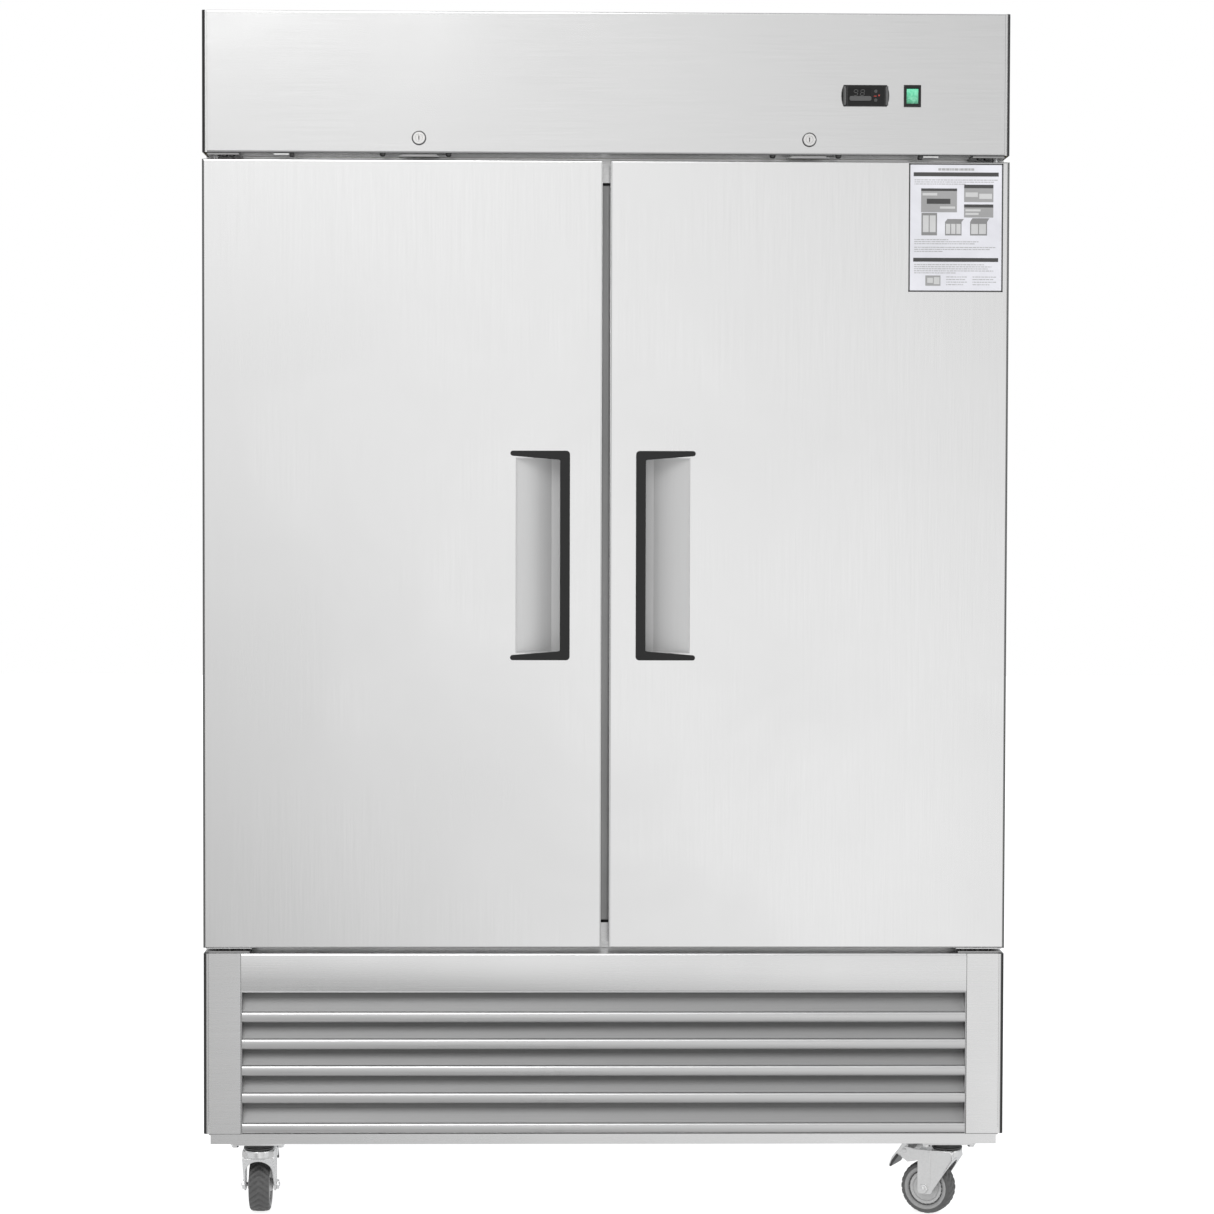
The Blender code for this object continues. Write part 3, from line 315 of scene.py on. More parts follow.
def weave(rows, columns, close_rows, close_columns):
    """Faces of a grid of points: each joins four neighbours, and closed ways wrap round."""
    i = np.arange(rows if close_rows else rows - 1)[:, None]
    j = np.arange(columns if close_columns else columns - 1)[None, :]
    below, beside = (i + 1) % rows, (j + 1) % columns
    corners = [i * columns + j, i * columns + beside, below * columns + beside, below * columns + j]
    return np.stack(np.broadcast_arrays(*corners), -1).reshape(-1, 4).tolist()


def shell(points, close_rows=False, close_columns=True, ends=True):
    """A surface on a grid of points (rows, columns, 3); ends close its first and last rows."""
    rows, columns = points.shape[:2]
    faces = weave(rows, columns, close_rows, close_columns)
    if ends and not close_rows:
        last = (rows - 1) * columns
        faces += [list(range(columns))[::-1], list(range(last, last + columns))]
    return points.reshape(-1, 3), faces


def together(*shells):
    """Several shells as one, their points stacked and their faces counted on."""
    starts = np.cumsum([0] + [len(points) for points, _ in shells])
    faces = [[start + i for i in face] for start, (_, many) in zip(starts, shells) for face in many]
    return np.concatenate([points for points, _ in shells]), faces


def copies(one, places):
    """The same shell moved to each of several places."""
    return together(*[(one[0] + np.array(place), one[1]) for place in places])


# the two ways in which a flat outline is drawn: lying level, or standing to face sideways
LEVEL = ((1, 0, 0), (0, 1, 0))
SIDEWAYS = ((0, 1, 0), (0, 0, 1))


def oblong(x, z):
    """The outline of a rectangle, from its two ranges."""
    return [(x[0], z[0]), (x[1], z[0]), (x[1], z[1]), (x[0], z[1])]


def strip(x, width):
    """A range of a width round its middle."""
    return x - width / 2, x + width / 2


def middle(box):
    """The middle of a box, as x, y and z."""
    return tuple((box[0] + box[1]) / 2)


def slab(outline, thickness, centre, u=(1, 0, 0), v=(0, 0, 1)):
    """A flat outline in the plane of u and v, carried half its thickness to each side of it."""
    u, v = np.array(u, float), np.array(v, float)
    flat = np.array(outline, float) @ np.stack([u, v]) + np.array(centre, float)
    out = np.cross(u, v) * thickness / 2
    return shell(np.stack([flat - out, flat + out]))


def spun(profile, centre, along=(0, 0, 1), steps=32):
    """(radius, distance) points turned about an axis: centre + distance*axis + radius*(cos, sin)."""
    along = np.array(along, float) / np.linalg.norm(along)
    side = np.cross(along, (1, 0, 0) if abs(along[0]) < 0.9 else (0, 1, 0))
    side /= np.linalg.norm(side)
    angle = np.linspace(0, 2 * np.pi, steps, endpoint=False)
    round_it = np.cos(angle)[:, None] * side + np.sin(angle)[:, None] * np.cross(along, side)
    radius, distance = np.array(profile, float).T
    points = radius[:, None, None] * round_it + distance[:, None, None] * along + np.array(centre, float)
    return shell(points, ends=False)


def rod(path, radius, flat=(0, 0, 1), sides=8, closed=False):
    """A round wire: a circle carried along a path that lies in the plane square to flat."""
    path = np.array(path, float)
    ahead_way = np.roll(path, -1, 0) - np.roll(path, 1, 0) if closed else np.gradient(path, axis=0)
    ahead_way /= np.linalg.norm(ahead_way, axis=1, keepdims=True)
    flat = np.array(flat, float)
    side = np.cross(ahead_way, flat)
    angle = np.linspace(0, 2 * np.pi, sides, endpoint=False)
    ring = np.cos(angle)[None, :, None] * side[:, None] + np.sin(angle)[None, :, None] * flat
    return shell(path[:, None] + radius * ring, close_rows=closed)


def bent(corners, radius, steps=6, closed=False):
    """A path through corners, each rounded by a quadratic curve between its two tangents."""
    corners = np.array(corners, float)
    before, after = np.roll(corners, 1, 0) - corners, np.roll(corners, -1, 0) - corners
    size = lambda way: np.linalg.norm(way, axis=1, keepdims=True)
    start, end = corners + before / size(before) * radius, corners + after / size(after) * radius
    t = np.linspace(0, 1, steps)[None, :, None]
    turns = (1 - t) ** 2 * start[:, None] + 2 * t * (1 - t) * corners[:, None] + t ** 2 * end[:, None]
    if closed:
        return turns.reshape(-1, 3)
    return np.concatenate([corners[:1], turns[1:-1].reshape(-1, 3), corners[-1:]])


def rounded_box_line(x, z, radius, steps=5):
    """The outline of a rectangle with quarter-circle corners, anticlockwise from its lower right."""
    quarter = np.linspace(-np.pi / 2, 0, steps)
    cx, cz = np.array([x[1], x[1], x[0], x[0]]), np.array([z[0], z[1], z[1], z[0]])
    inward = np.array([[-1, 1], [-1, -1], [1, -1], [1, 1]]) * radius
    angle = quarter[None, :] + np.arange(4)[:, None] * np.pi / 2
    return np.stack([cx[:, None] + inward[:, :1] + radius * np.cos(angle),
                     cz[:, None] + inward[:, 1:] + radius * np.sin(angle)], -1).reshape(-1, 2)


def piece(name, body, material, shape, bevel=0.0, segments=2, replaces=(), crease=38):
    """Make a shape one of the refrigerator's pieces, fixed to a body."""
    points, faces = shape
    mesh = bpy.data.meshes.new(name)
    mesh.from_pydata(points.tolist(), [], faces)
    tidy = bmesh.new()
    tidy.from_mesh(mesh)
    bmesh.ops.remove_doubles(tidy, verts=tidy.verts, dist=0.000002)
    bmesh.ops.recalc_face_normals(tidy, faces=tidy.faces)
    tidy.to_mesh(mesh)
    tidy.free()
    mesh.shade_smooth()
    mesh.set_sharp_from_angle(angle=math.radians(crease))
    mesh.materials.append(material)
    made = bpy.data.objects.new(name, mesh)
    bpy.context.scene.collection.objects.link(made)
    if bevel:
        step = made.modifiers.new("rounded", "BEVEL")
        step.width = bevel
        step.segments = segments
        step.limit_method = "ANGLE"
        step.angle_limit = math.radians(40)
    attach(made, body)
    if replaces:
        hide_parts(*replaces)
    return made


# pan-head screws hold the back sheet and the rear cover

screw_steel = rolled_sheet("screw_steel", grey(0.62), 0.30, (400.0, 400.0, 400.0), 0.3, 0.05)
PAN = [(0.0, 0.0022), (0.0016, 0.0021), (0.0031, 0.0015), (0.0038, 0.0004), (0.0038, -0.0004), (0, -0.0004)]
back_rows = [(x, BACK, z) for x in np.linspace(-0.66, 0.66, 5) for z in (0.475, 2.045)]
back_rows += [(x, BACK, z) for x in (-0.66, 0.66) for z in np.linspace(0.80, 1.80, 4)]
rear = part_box("rear_cover")
cover_rows = [(x, rear[1].y, z) for x in np.linspace(rear[0].x + 0.012, rear[1].x - 0.012, 4)
              for z in (rear[0].z + 0.012, rear[1].z - 0.012)]
inward_pan = [(radius, height - 0.0022) for radius, height in PAN]
piece("back_screws", "cabinet", screw_steel,
      together(copies(spun(inward_pan, (0, 0, 0), (0, 1, 0), 14), back_rows),
               copies(spun(PAN, (0, 0, 0), (0, 1, 0), 14), cover_rows)))

# ---- mullion and doorway --------------------------------------------------------------------
# A grey plastic centre post between the doors, with a rubber cap strip at each end, and the
# satin lining sheet of the cold room behind it.


def moulded(name, colour, roughness, size=700.0, bump=0.10, wear=0.0, worn=0.35, coat=0.0, shine=0.5):
    """Moulded plastic or paint: a fine pebbled skin, broad handling marks and paler edges."""
    made, tree, shader = started(name)
    shader.inputs["Coat Weight"].default_value = coat
    shader.inputs["Coat Roughness"].default_value = 0.08
    shader.inputs["Specular IOR Level"].default_value = shine
    pebble = put(tree, GRAIN, Stretch=(size, size, size))
    marks = put(tree, MARKS, Size=9.0)
    base = mixed(tree, between(tree, marks, 0.0, 1.0), colour, darker(colour, 0.86))
    base = mixed(tree, between(tree, pebble, 0.0, 0.22), base, darker(colour, 0.7))
    if wear:
        base = mixed(tree, between(tree, put(tree, WEAR, Width=0.0010), 0.0, wear), base, grey(worn))
    rough = between(tree, pebble, roughness - 0.06, roughness + 0.06), between(tree, marks, -0.03, 0.05)
    finished(tree, shader, base, rough, pebble, bump, 0.0003)
    return made


post_grey = moulded("post_grey", grey(0.20), 0.38, 500.0, 0.08)
post_face = rolled_sheet("post_face", grey(0.34), 0.30, (500.0, 500.0, 6.0), 0.10)
rubber = moulded("seal_rubber", grey(0.018), 0.62, 900.0, 0.15)
lining = rolled_sheet("satin_lining", grey(0.62), 0.34, (160.0, 160.0, 160.0), 0.10, 0.10, 0.10)
foam_skin = moulded("foam_skin", (0.55, 0.46, 0.26, 1.0), 0.9, 260.0, 0.5)
dress(post_face, "mullion")
dress(lining, "liner")
dress(foam_skin, "insulation")

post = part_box("mullion")
END = 0.0042
caps = [slab(rounded_box_line((post[0].x, post[1].x), (0, END), 0.0012, 3), 0.004, (0, post[0].y - 0.0018, z))
        for z in (post[0].z - 0.0003, post[1].z - END + 0.0003)]
piece("mullion_end_seals", "cabinet", rubber, together(*caps))
ribs = [rod([(x, post[0].y + 0.0002, post[0].z + 0.006), (x, post[0].y + 0.0002, post[1].z - 0.006)], 0.0007,
            (1, 0, 0), 6) for x in (-0.030, -0.024, 0.024, 0.030)]
piece("mullion_ribs", "cabinet", post_grey, together(*ribs))

# ---- doors ----------------------------------------------------------------------------------
# Each door is a folded stainless pan foamed to an inner panel. The panel is dished inside the
# gasket, whose bellows and magnet strip run round the door in a dart groove.

dress(upright_grain_lightened, "door_skin_left", "door_skin_right")
inner_sheet = rolled_sheet("door_inner_sheet", grey(0.66), 0.30, (500.0, 500.0, 8.0), 0.12)
dress(inner_sheet, "door_inner_left", "door_inner_right")
gasket_skin = moulded("gasket_skin", grey(0.055), 0.55, 600.0, 0.12)

# the bellows: (inset from the gasket's outside, depth from the door) round one closed section
BELLOWS = [(0.0000, 0.0002), (0.0006, 0.0026), (0.0002, 0.0052), (0.0000, 0.0078), (0.0010, 0.0096),
           (0.0028, 0.0102), (0.0090, 0.0102), (0.0110, 0.0092), (0.0116, 0.0076), (0.0106, 0.0060),
           (0.0118, 0.0040), (0.0112, 0.0018), (0.0120, 0.0002)]


def framed(section, x, z, base, radius=0.010, steps=6):
    """A section of (inset, depth) points carried round a rectangle: each point makes a rounded ring."""
    rings = []
    for inset, depth in section:
        line = rounded_box_line((x[0] + inset, x[1] - inset), (z[0] + inset, z[1] - inset),
                                max(radius - inset, 0.0012), steps)
        rings.append(np.insert(line, 1, base + depth, axis=1))
    return shell(np.stack(rings), close_rows=True)


for side, sign in (("left", -1), ("right", 1)):
    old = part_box("door_gasket_" + side)
    x, z, back = (old[0].x, old[1].x), (old[0].z, old[1].z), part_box("door_inner_" + side)[1].y
    piece("gasket_" + side, side + "_door", gasket_skin,
          framed(BELLOWS, x, z, back), replaces=["door_gasket_" + side])
    plate_x, plate_z = (x[0] + 0.0145, x[1] - 0.0145), (z[0] + 0.0145, z[1] - 0.0145)
    rim = [(0.0, 0.0001), (0.0012, 0.0018), (0.0100, 0.0030), (0.0125, 0.0030), (0.0260, 0.0001)]
    piece("inner_panel_bead_" + side, side + "_door", inner_sheet,
          framed(rim, plate_x, plate_z, back, 0.012))

# ---- door handles ---------------------------------------------------------------------------
# A black moulded grip snaps round three sides of a folded stainless pocket. The bar stands over
# the deep side, and two arms taper towards the hinge.

pocket_steel = rolled_sheet("pocket_steel", grey(0.52), 0.60, (900.0, 900.0, 5.0), 0.10, metallic=0.10)
grip_black = moulded("grip_black", grey(0.008), 0.50, 1100.0, 0.22, 0.4, 0.05, shine=0.36)
dress(pocket_steel, "handle_pocket_left", "handle_pocket_right")
GRIP_CORNER = 0.0062
for side, sign in (("left", -1), ("right", 1)):
    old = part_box("handle_trim_" + side)
    near = old[1].x if sign < 0 else old[0].x
    tip, tall, mid = old[1].x - old[0].x, (old[1].z - old[0].z) / 2, (old[0].z + old[1].z) / 2
    turn = np.linspace(0, np.pi / 2, 7)
    corner = np.stack([GRIP_CORNER * (1 - np.sin(turn[::-1])), tall - GRIP_CORNER * (1 - np.cos(turn[::-1]))],
                      -1)
    nose = np.array([(tip - 0.0042 + 0.0042 * math.sin(a), tall - 0.0044 + 0.0044 * math.cos(a))
                     for a in np.linspace(0.1, math.pi - 0.1, 8)])
    inner = np.array([(0.0200, tall - 0.0152), (0.0178, tall - 0.0158), (0.0166, tall - 0.0172)])
    upper = np.concatenate([corner, nose, inner])
    line = np.concatenate([upper, upper[::-1] * (1, -1)])
    line[:, 0] = near + sign * line[:, 0]
    piece("handle_grip_" + side, side + "_door", grip_black,
          slab(line, old[1].y - old[0].y, (0, (old[0].y + old[1].y) / 2, mid)), 0.0010, 3,
          ["handle_trim_" + side])
    lip = old[0].y + 0.0042
    ledge = [(near + sign * 0.0168, lip - 0.0006), (near + sign * 0.0168, lip + 0.0120),
             (near + sign * 0.0152, lip + 0.0120), (near + sign * 0.0152, lip - 0.0006)]
    piece("grip_ledge_" + side, side + "_door", grip_black,
          slab(ledge, 2 * tall - 0.034, (0, 0, mid), *LEVEL), 0.0005)

# ---- hinges ---------------------------------------------------------------------------------
# Self-closing cartridge hinges: a stainless bracket bolted to the cabinet at each end, and a
# bright plate on the door's own edge. Hexagon bolts hold the brackets, three below and two above.

bright = rolled_sheet("bright_plate", grey(0.86), 0.22, (5.0, 700.0, 700.0), 0.08)
# dark bolt colour; on the lock plugs the same colour is painted shade in the key way
bolt_dark_and_keyhole_shade = rolled_sheet("blackened_bolt", grey(0.10), 0.40, (300.0, 300.0, 300.0), 0.4)
hinge_steel = rolled_sheet("hinge_steel", grey(0.40), 0.28, (5.0, 700.0, 700.0), 0.10)
dress(hinge_steel, "hinge_top_left", "hinge_top_right", "hinge_bottom_left", "hinge_bottom_right")


def hexagon(width):
    """A bolt head's outline, from its width over the flats."""
    angle = np.arange(6) * np.pi / 3
    return np.stack([np.cos(angle), np.sin(angle)], -1) * width / 2 / math.cos(math.pi / 6)


flat_head = slab(hexagon(0.0085), 0.0030, (0, 0, 0), *LEVEL)
for side, sign in (("left", -1), ("right", 1)):
    x0, x1 = sorted(abs(corner.x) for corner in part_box("hinge_bottom_" + side))
    heads = [(sign * x, FRONT + 0.0150, BASE_TOP + 0.0048) for x in np.linspace(x0 + 0.009, x1 - 0.016, 3)]
    piece("bottom_hinge_bolts_" + side, "cabinet", bolt_dark_and_keyhole_shade, copies(flat_head, heads), 0.0004)
    reach = np.array(oblong((x0 - 0.004, min(x1 + 0.003, SIDE - 0.004)), (0.004, 0.046)))
    foot = slab(reach * (sign, 1) + (0, FRONT), 0.0014, (0, 0, DOOR_LOW - 0.0010), *LEVEL)
    piece("door_foot_plate_" + side, side + "_door", bright, foot, 0.0003)
    x0 = min(abs(corner.x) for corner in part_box("hinge_top_" + side))
    heads = [(sign * x, FRONT + 0.0140, HEAD_LOW - 0.0048) for x in (x0 + 0.012, x0 + 0.024)]
    piece("top_hinge_bolts_" + side, "cabinet", bolt_dark_and_keyhole_shade, copies(flat_head, heads), 0.0004)
    # stop pin and its bright keeper, further in than the bracket
    keeper_x = sign * (SIDE - 0.134)
    keeper = slab(oblong((-0.013, 0.013), (0, 0.0030)), 0.016, (keeper_x, FRONT + 0.016, HEAD_LOW - 0.0034))
    piece("top_stop_keeper_" + side, "cabinet", bright, keeper, 0.0004)
    stud = spun([(0, -0.0068), (0.0030, -0.0066), (0.0040, -0.0054), (0.0040, -0.0002), (0, -0.0002)],
                (keeper_x - sign * 0.018, FRONT + 0.011, HEAD_LOW), steps=16)
    piece("top_stop_stud_" + side, "cabinet", bolt_dark_and_keyhole_shade, stud)

# ---- locks ----------------------------------------------------------------------------------
# A round nickel cam lock in the header over each door. Its cam drops into a slot in the door's
# top, beside a bright strike plate between two dark screws under the header.

nickel = rolled_sheet("nickel_plate", grey(0.78, 0.01), 0.20, (300.0, 300.0, 300.0), 0.08, 0.02)
ring_dark = rolled_sheet("lock_ring", grey(0.10), 0.36, (300.0, 300.0, 300.0), 0.1)
strike_steel = rolled_sheet("strike_steel", grey(0.46), 0.30, (5.0, 700.0, 700.0), 0.08)
dress(nickel, "lock_barrel_left", "lock_barrel_right", "lock_plug_left", "lock_plug_right")
for side in ("left", "right"):
    x, _, z = middle(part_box("lock_barrel_" + side))
    groove = [(0.0108, 0.0), (0.0108, 0.0030), (0.0114, 0.0030), (0.0123, 0.0010), (0.0123, 0.0)]
    piece("lock_ring_" + side, "cabinet", ring_dark,
          spun(groove, (x, FRONT, z), (0, -1, 0), 40), crease=60)
    # painted shade: a dark keyhole-shaped sheet on the plug stands for the shade inside its key way
    piece("key_way_" + side, side + "_lock", bolt_dark_and_keyhole_shade,
          slab([(-0.0006, -0.0030), (0.0006, -0.0030), (0.0007, 0.0008), (0.0011, 0.0020), (0.0, 0.0032),
                (-0.0011, 0.0020), (-0.0007, 0.0008)], 0.0004, (x, FRONT - 0.0037, z)))
    strike = slab(oblong((-0.034, 0.034), (0.0, 0.0016)), 0.012, (x, FRONT + 0.0075, HEAD_LOW - 0.0060))
    hanger = slab(oblong((-0.030, 0.030), (0.0, 0.0044)), 0.0016, (x, FRONT + 0.0125, HEAD_LOW - 0.0046))
    piece("strike_plate_" + side, "cabinet", strike_steel, together(strike, hanger), 0.0003)
    dome = [(0, -0.0058), (0.0026, -0.0054), (0.0044, -0.0040), (0.0052, -0.0016), (0.0052, -0.0002),
            (0, -0.0002)]
    screws = copies(spun(dome, (0, 0, 0), steps=18),
                    [(x + aside, FRONT + 0.0085, HEAD_LOW) for aside in (-0.062, 0.050)])
    piece("strike_screws_" + side, "cabinet", bolt_dark_and_keyhole_shade, screws)

# ---- controller -----------------------------------------------------------------------------
# A snap-in temperature controller: a glossy black capsule with ribbed ends, a smoked window over
# the segment display, two round buttons and a small red lamp. A paler band on the window's lower
# half is a painted reflection, and the end beads carry painted highlights.

gloss_black = moulded("gloss_black", grey(0.006), 0.20, 300.0, 0.03, 0.3, 0.06, 0.15, 0.25)
smoked = moulded("smoked_window", grey(0.004), 0.12, 200.0, 0.01, coat=0.2, shine=0.2)
# painted highlight: this paler grey stands for the window's reflection and the highlights on the end beads
painted_highlight = moulded("window_sheen", grey(0.070), 0.30, 200.0, 0.01, coat=0.3)
dress(gloss_black, "controller")
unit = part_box("controller")
cx, _, cz = middle(unit)
wide, tall = unit[1].x - unit[0].x, unit[1].z - unit[0].z
face_y = unit[0].y
button_gloss = moulded("button_gloss", grey(0.05), 0.28, 500.0, 0.05, 0.5, 0.2)
dress(button_gloss, "controller_button_upper", "controller_button_lower")


def on_unit(across, rise, out=0.0):
    """A place on the controller's face, as shares of its width and height from its middle."""
    return cx + wide * across, face_y - out, cz + tall * rise


ends = [rod([on_unit(across, -0.47, -0.0002), on_unit(across, 0.47, -0.0002)], 0.0007, (1, 0, 0))
        for across in (-0.375, 0.405)]
piece("controller_ribs", "cabinet", gloss_black, together(*ends))
window = rounded_box_line((-0.355 * wide, 0.135 * wide), (-0.27 * tall, 0.36 * tall), 0.0035, 6)
piece("display_window", "cabinet", smoked, slab(window, 0.0008, on_unit(0, 0)), 0.0003)
# painted reflection: a paler band over the lower half of the smoked window
lower = rounded_box_line((-0.330 * wide, 0.125 * wide), (-0.24 * tall, -0.02 * tall), 0.0030, 5)
piece("window_sheen_band", "cabinet", painted_highlight, slab(lower, 0.0003, on_unit(0, 0, 0.0005)),
      0.0001)


def crowned(u, v, bulge, x, z, base, count=(9, 17)):
    """A long bead: an ellipse's arc across the short way, which fades out at both ends."""
    a, b = np.linspace(-1, 1, count[0]), np.linspace(-1, 1, count[1])
    ga, gb = np.meshgrid(a, b)
    lift = bulge * np.sqrt(np.clip(1 - ga ** 2, 0, 1)) * np.clip((1 - gb ** 4), 0, 1)
    points = np.stack([x + u * ga, base - lift, z + v * gb], -1)
    back = np.stack([x + u * ga, np.full_like(ga, base + 0.0002), z + v * gb], -1)
    return together(*[shell(face, close_columns=False, ends=False) for face in (points, back)])


# painted highlights: the end beads take the same paler grey
cheek_beads = [crowned(0.0022, tall * 0.44, 0.0007, cx + wide * across, cz, face_y)
               for across in (-0.430, 0.452)]
piece("controller_end_beads", "cabinet", painted_highlight, together(*cheek_beads), crease=70)

# seven-segment digits: a slanted bar for each segment
SEGMENTS = {"top": (0, 1, 0), "middle": (0, 0, 0), "foot": (0, -1, 0), "ul": (-0.5, 0.5, 1),
            "ur": (0.5, 0.5, 1), "ll": (-0.5, -0.5, 1), "lr": (0.5, -0.5, 1)}
DIGIT = (0.0060, 0.0048)      # width and half height


def digit(place, bars):
    """A digit's bars as thin tapered strips: centres and directions from the table of segments."""
    made = []
    width, half_height = DIGIT
    for bar in bars:
        across, rise, upright = SEGMENTS[bar]
        size = (half_height if upright else width) * 0.42
        long_way = np.array([(-size, 0), (-size * 0.82, 0.0005), (size * 0.82, 0.0005), (size, 0),
                             (size * 0.82, -0.0005), (-size * 0.82, -0.0005)])
        line = long_way[:, ::-1] if upright else long_way
        line = line + (across * width, rise * half_height)
        line[:, 0] += 0.12 * line[:, 1]
        made.append(slab(line, 0.0002, place))
    return made


lit, tree, shader = started("display_segments")
uneven = ramp(tree, put(tree, MARKS, Size=400.0), [(0.0, 0.05), (1.0, 0.09)])
tree.links.new(uneven, shader.inputs["Base Color"])
shader.inputs["Roughness"].default_value = 0.3
nine = ["top", "ul", "ur", "middle", "lr", "foot"]
digits = digit(on_unit(-0.20, 0.14, 0.0005), nine) + digit(on_unit(-0.06, 0.14, 0.0005), nine + ["ll"])
piece("display_digits", "cabinet", lit, together(*digits))
lamp_red = moulded("lamp_red", (0.42, 0.035, 0.02, 1.0), 0.25, 300.0, 0.02, coat=0.5)
lens_shape = [(0.0, 0.00055), (0.0008, 0.0005), (0.0013, 0.0002), (0.0014, -0.0001), (0, -0.0001)]
piece("lamp", "cabinet", lamp_red,
      together(spun(lens_shape, on_unit(0.285, 0.015), (0, -1, 0), 16),
               slab(rounded_box_line((-0.0024, 0.0024), (-0.0006, 0.0006), 0.0005, 3), 0.0003,
                    on_unit(0.205, -0.02, 0.0001))), crease=60)

# ---- switch ---------------------------------------------------------------------------------
# A snap-in rocker switch: a matt black frame and a clear green rocker, paler towards its top at the pressed
# end, with a faint painted glow.

switch_black = moulded("switch_black", grey(0.010), 0.36, 800.0, 0.12, 0.5, 0.08, shine=0.3)
dress(switch_black, "switch_frame")
green, tree, shader = started("clear_green")
place = node(tree, "ShaderNodeTexCoord", name="place")
height = node(tree, "ShaderNodeSeparateXYZ", {0: place.outputs["Object"]}).outputs["Z"]
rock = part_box("switch_rocker")
fade = node(tree, "ShaderNodeMapRange", {0: height, 1: rock[0].z, 2: rock[1].z, 3: 0.0, 4: 1.0}).outputs[0]
cloud = put(tree, MARKS, Size=160.0)
tint = mixed(tree, fade, (0.020, 0.235, 0.110, 1.0), (0.105, 0.560, 0.330, 1.0))
tint = mixed(tree, between(tree, cloud, 0.0, 0.5), tint, (0.30, 0.74, 0.52, 1.0))
tree.links.new(tint, shader.inputs["Base Color"])
# painted glow: the rocker gives off a little of its own colour as emission
tree.links.new(tint, shader.inputs["Emission Color"])
shader.inputs["Emission Strength"].default_value = 0.10
tree.links.new(between(tree, cloud, 0.14, 0.24), shader.inputs["Roughness"])
shader.inputs["Coat Weight"].default_value = 0.5
dress(green, "switch_rocker")
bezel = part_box("switch_frame")
edge_line = [(0.0006, 0.0), (0.0012, -0.0006), (0.0022, -0.0006), (0.0028, 0.0)]
piece("switch_rim", "cabinet", switch_black,
      framed(edge_line, (bezel[0].x, bezel[1].x), (bezel[0].z, bezel[1].z), bezel[0].y + 0.0002, 0.0026, 4))

# ---- instruction sheet ----------------------------------------------------------------------
# A paper sheet stuck to the upper right of the right door: a printed frame, grey bars standing
# for lines of print, and small pictures of cabinets and panels.

paper = moulded("sheet_paper", (0.66, 0.66, 0.70, 1.0), 0.55, 500.0, 0.05)
SHEET_X, SHEET_Z = (0.5140, 0.6750), (1.5900, 1.8080)


def printed(u, v, layer=1, lean=0.0):
    """A printed patch over ranges of the sheet, lifted by its layer; lean slants its upright edges."""
    x0, x1 = [SHEET_X[0] + (SHEET_X[1] - SHEET_X[0]) * share for share in u]
    z1, z0 = [SHEET_Z[1] - (SHEET_Z[1] - SHEET_Z[0]) * share for share in v]
    line = [(x0, z0), (x1, z0), (x1 + lean, z1), (x0 + lean, z1)]
    return slab(line, 0.00004, (0, FRONT - 0.00035 - 0.00006 * layer, 0))


def ink(name, value):
    """Printing ink: a toner-like grey, mottled by the paper's tooth."""
    return moulded(name, grey(value), 0.50, 900.0, 0.03)


piece("instruction_sheet", "right_door", paper,
      slab(rounded_box_line(SHEET_X, SHEET_Z, 0.0008, 3), 0.0003, (0, FRONT - 0.0002, 0)))
border = [((0.000, 1.000), (0.000, 0.011)), ((0.000, 1.000), (0.989, 1.000)),
          ((0.000, 0.015), (0.000, 1.000)), ((0.985, 1.000), (0.000, 1.000))]
bars = [((0.050, 0.950), (0.070, 0.101)), ((0.050, 0.950), (0.735, 0.765)),
        ((0.130, 0.510), (0.195, 0.215)), ((0.585, 0.895), (0.165, 0.192)),
        ((0.585, 0.895), (0.318, 0.342)), ((0.190, 0.440), (0.275, 0.315))]
piece("sheet_black_print", "right_door", ink("black_ink", 0.045),
      together(*[printed(u, v, 2) for u, v in border + bars]))
print_rows = [((0.31, 0.69), 0.038, 0.018)]
blocks = [(0.06, 0.126, (0.94, 0.90, 0.60)), (0.06, 0.590, (0.42, 0.74, 0.70)),
          (0.06, 0.650, (0.92, 0.86, 0.36)), (0.06, 0.785, (0.80, 0.88, 0.84, 0.90, 0.50))]
for left, top_row, stops in blocks:
    print_rows += [((left, stop), top_row + 0.016 * row, 0.006) for row, stop in enumerate(stops)]
for left, stops in ((0.40, (0.62, 0.60, 0.62, 0.58)), (0.68, (0.93, 0.90, 0.93, 0.86))):
    print_rows += [((left, stop), 0.880 + 0.020 * row, 0.006) for row, stop in enumerate(stops)]
rng = np.random.default_rng(7)
words = []
for (left, ends_at), v, tall_row in print_rows:
    cuts = left + np.cumsum(rng.uniform(0.014, 0.050, 40))
    starts = np.concatenate([[left], cuts[cuts < ends_at - 0.01]])
    stops = np.append(starts[1:] - 0.006, ends_at)
    words += [printed((a, b), (v, v + tall_row), 1) for a, b in zip(starts, stops)]
piece("sheet_grey_print", "right_door", ink("grey_ink", 0.36), together(*words))
fields = [((0.130, 0.510), (0.215, 0.380)), ((0.585, 0.895), (0.192, 0.300)),
          ((0.585, 0.895), (0.342, 0.420)), ((0.180, 0.340), (0.872, 0.952))]
piece("sheet_fields", "right_door", ink("field_ink", 0.30),
      together(*[printed(u, v) for u, v in fields]))
cabinets = [((0.135, 0.300), (0.385, 0.560)), ((0.385, 0.560), (0.455, 0.560)),
            ((0.650, 0.830), (0.455, 0.560))]
lids = [((0.385, 0.560), (0.432, 0.455)), ((0.650, 0.830), (0.425, 0.455))]
piece("sheet_cabinets", "right_door", ink("cabinet_ink", 0.22),
      together(*[printed(u, v, 1) for u, v in cabinets], *[printed(u, v, 1, 0.004) for u, v in lids]))
doors_drawn = [(u, (0.405, 0.535)) for u in ((0.150, 0.212), (0.222, 0.285))]
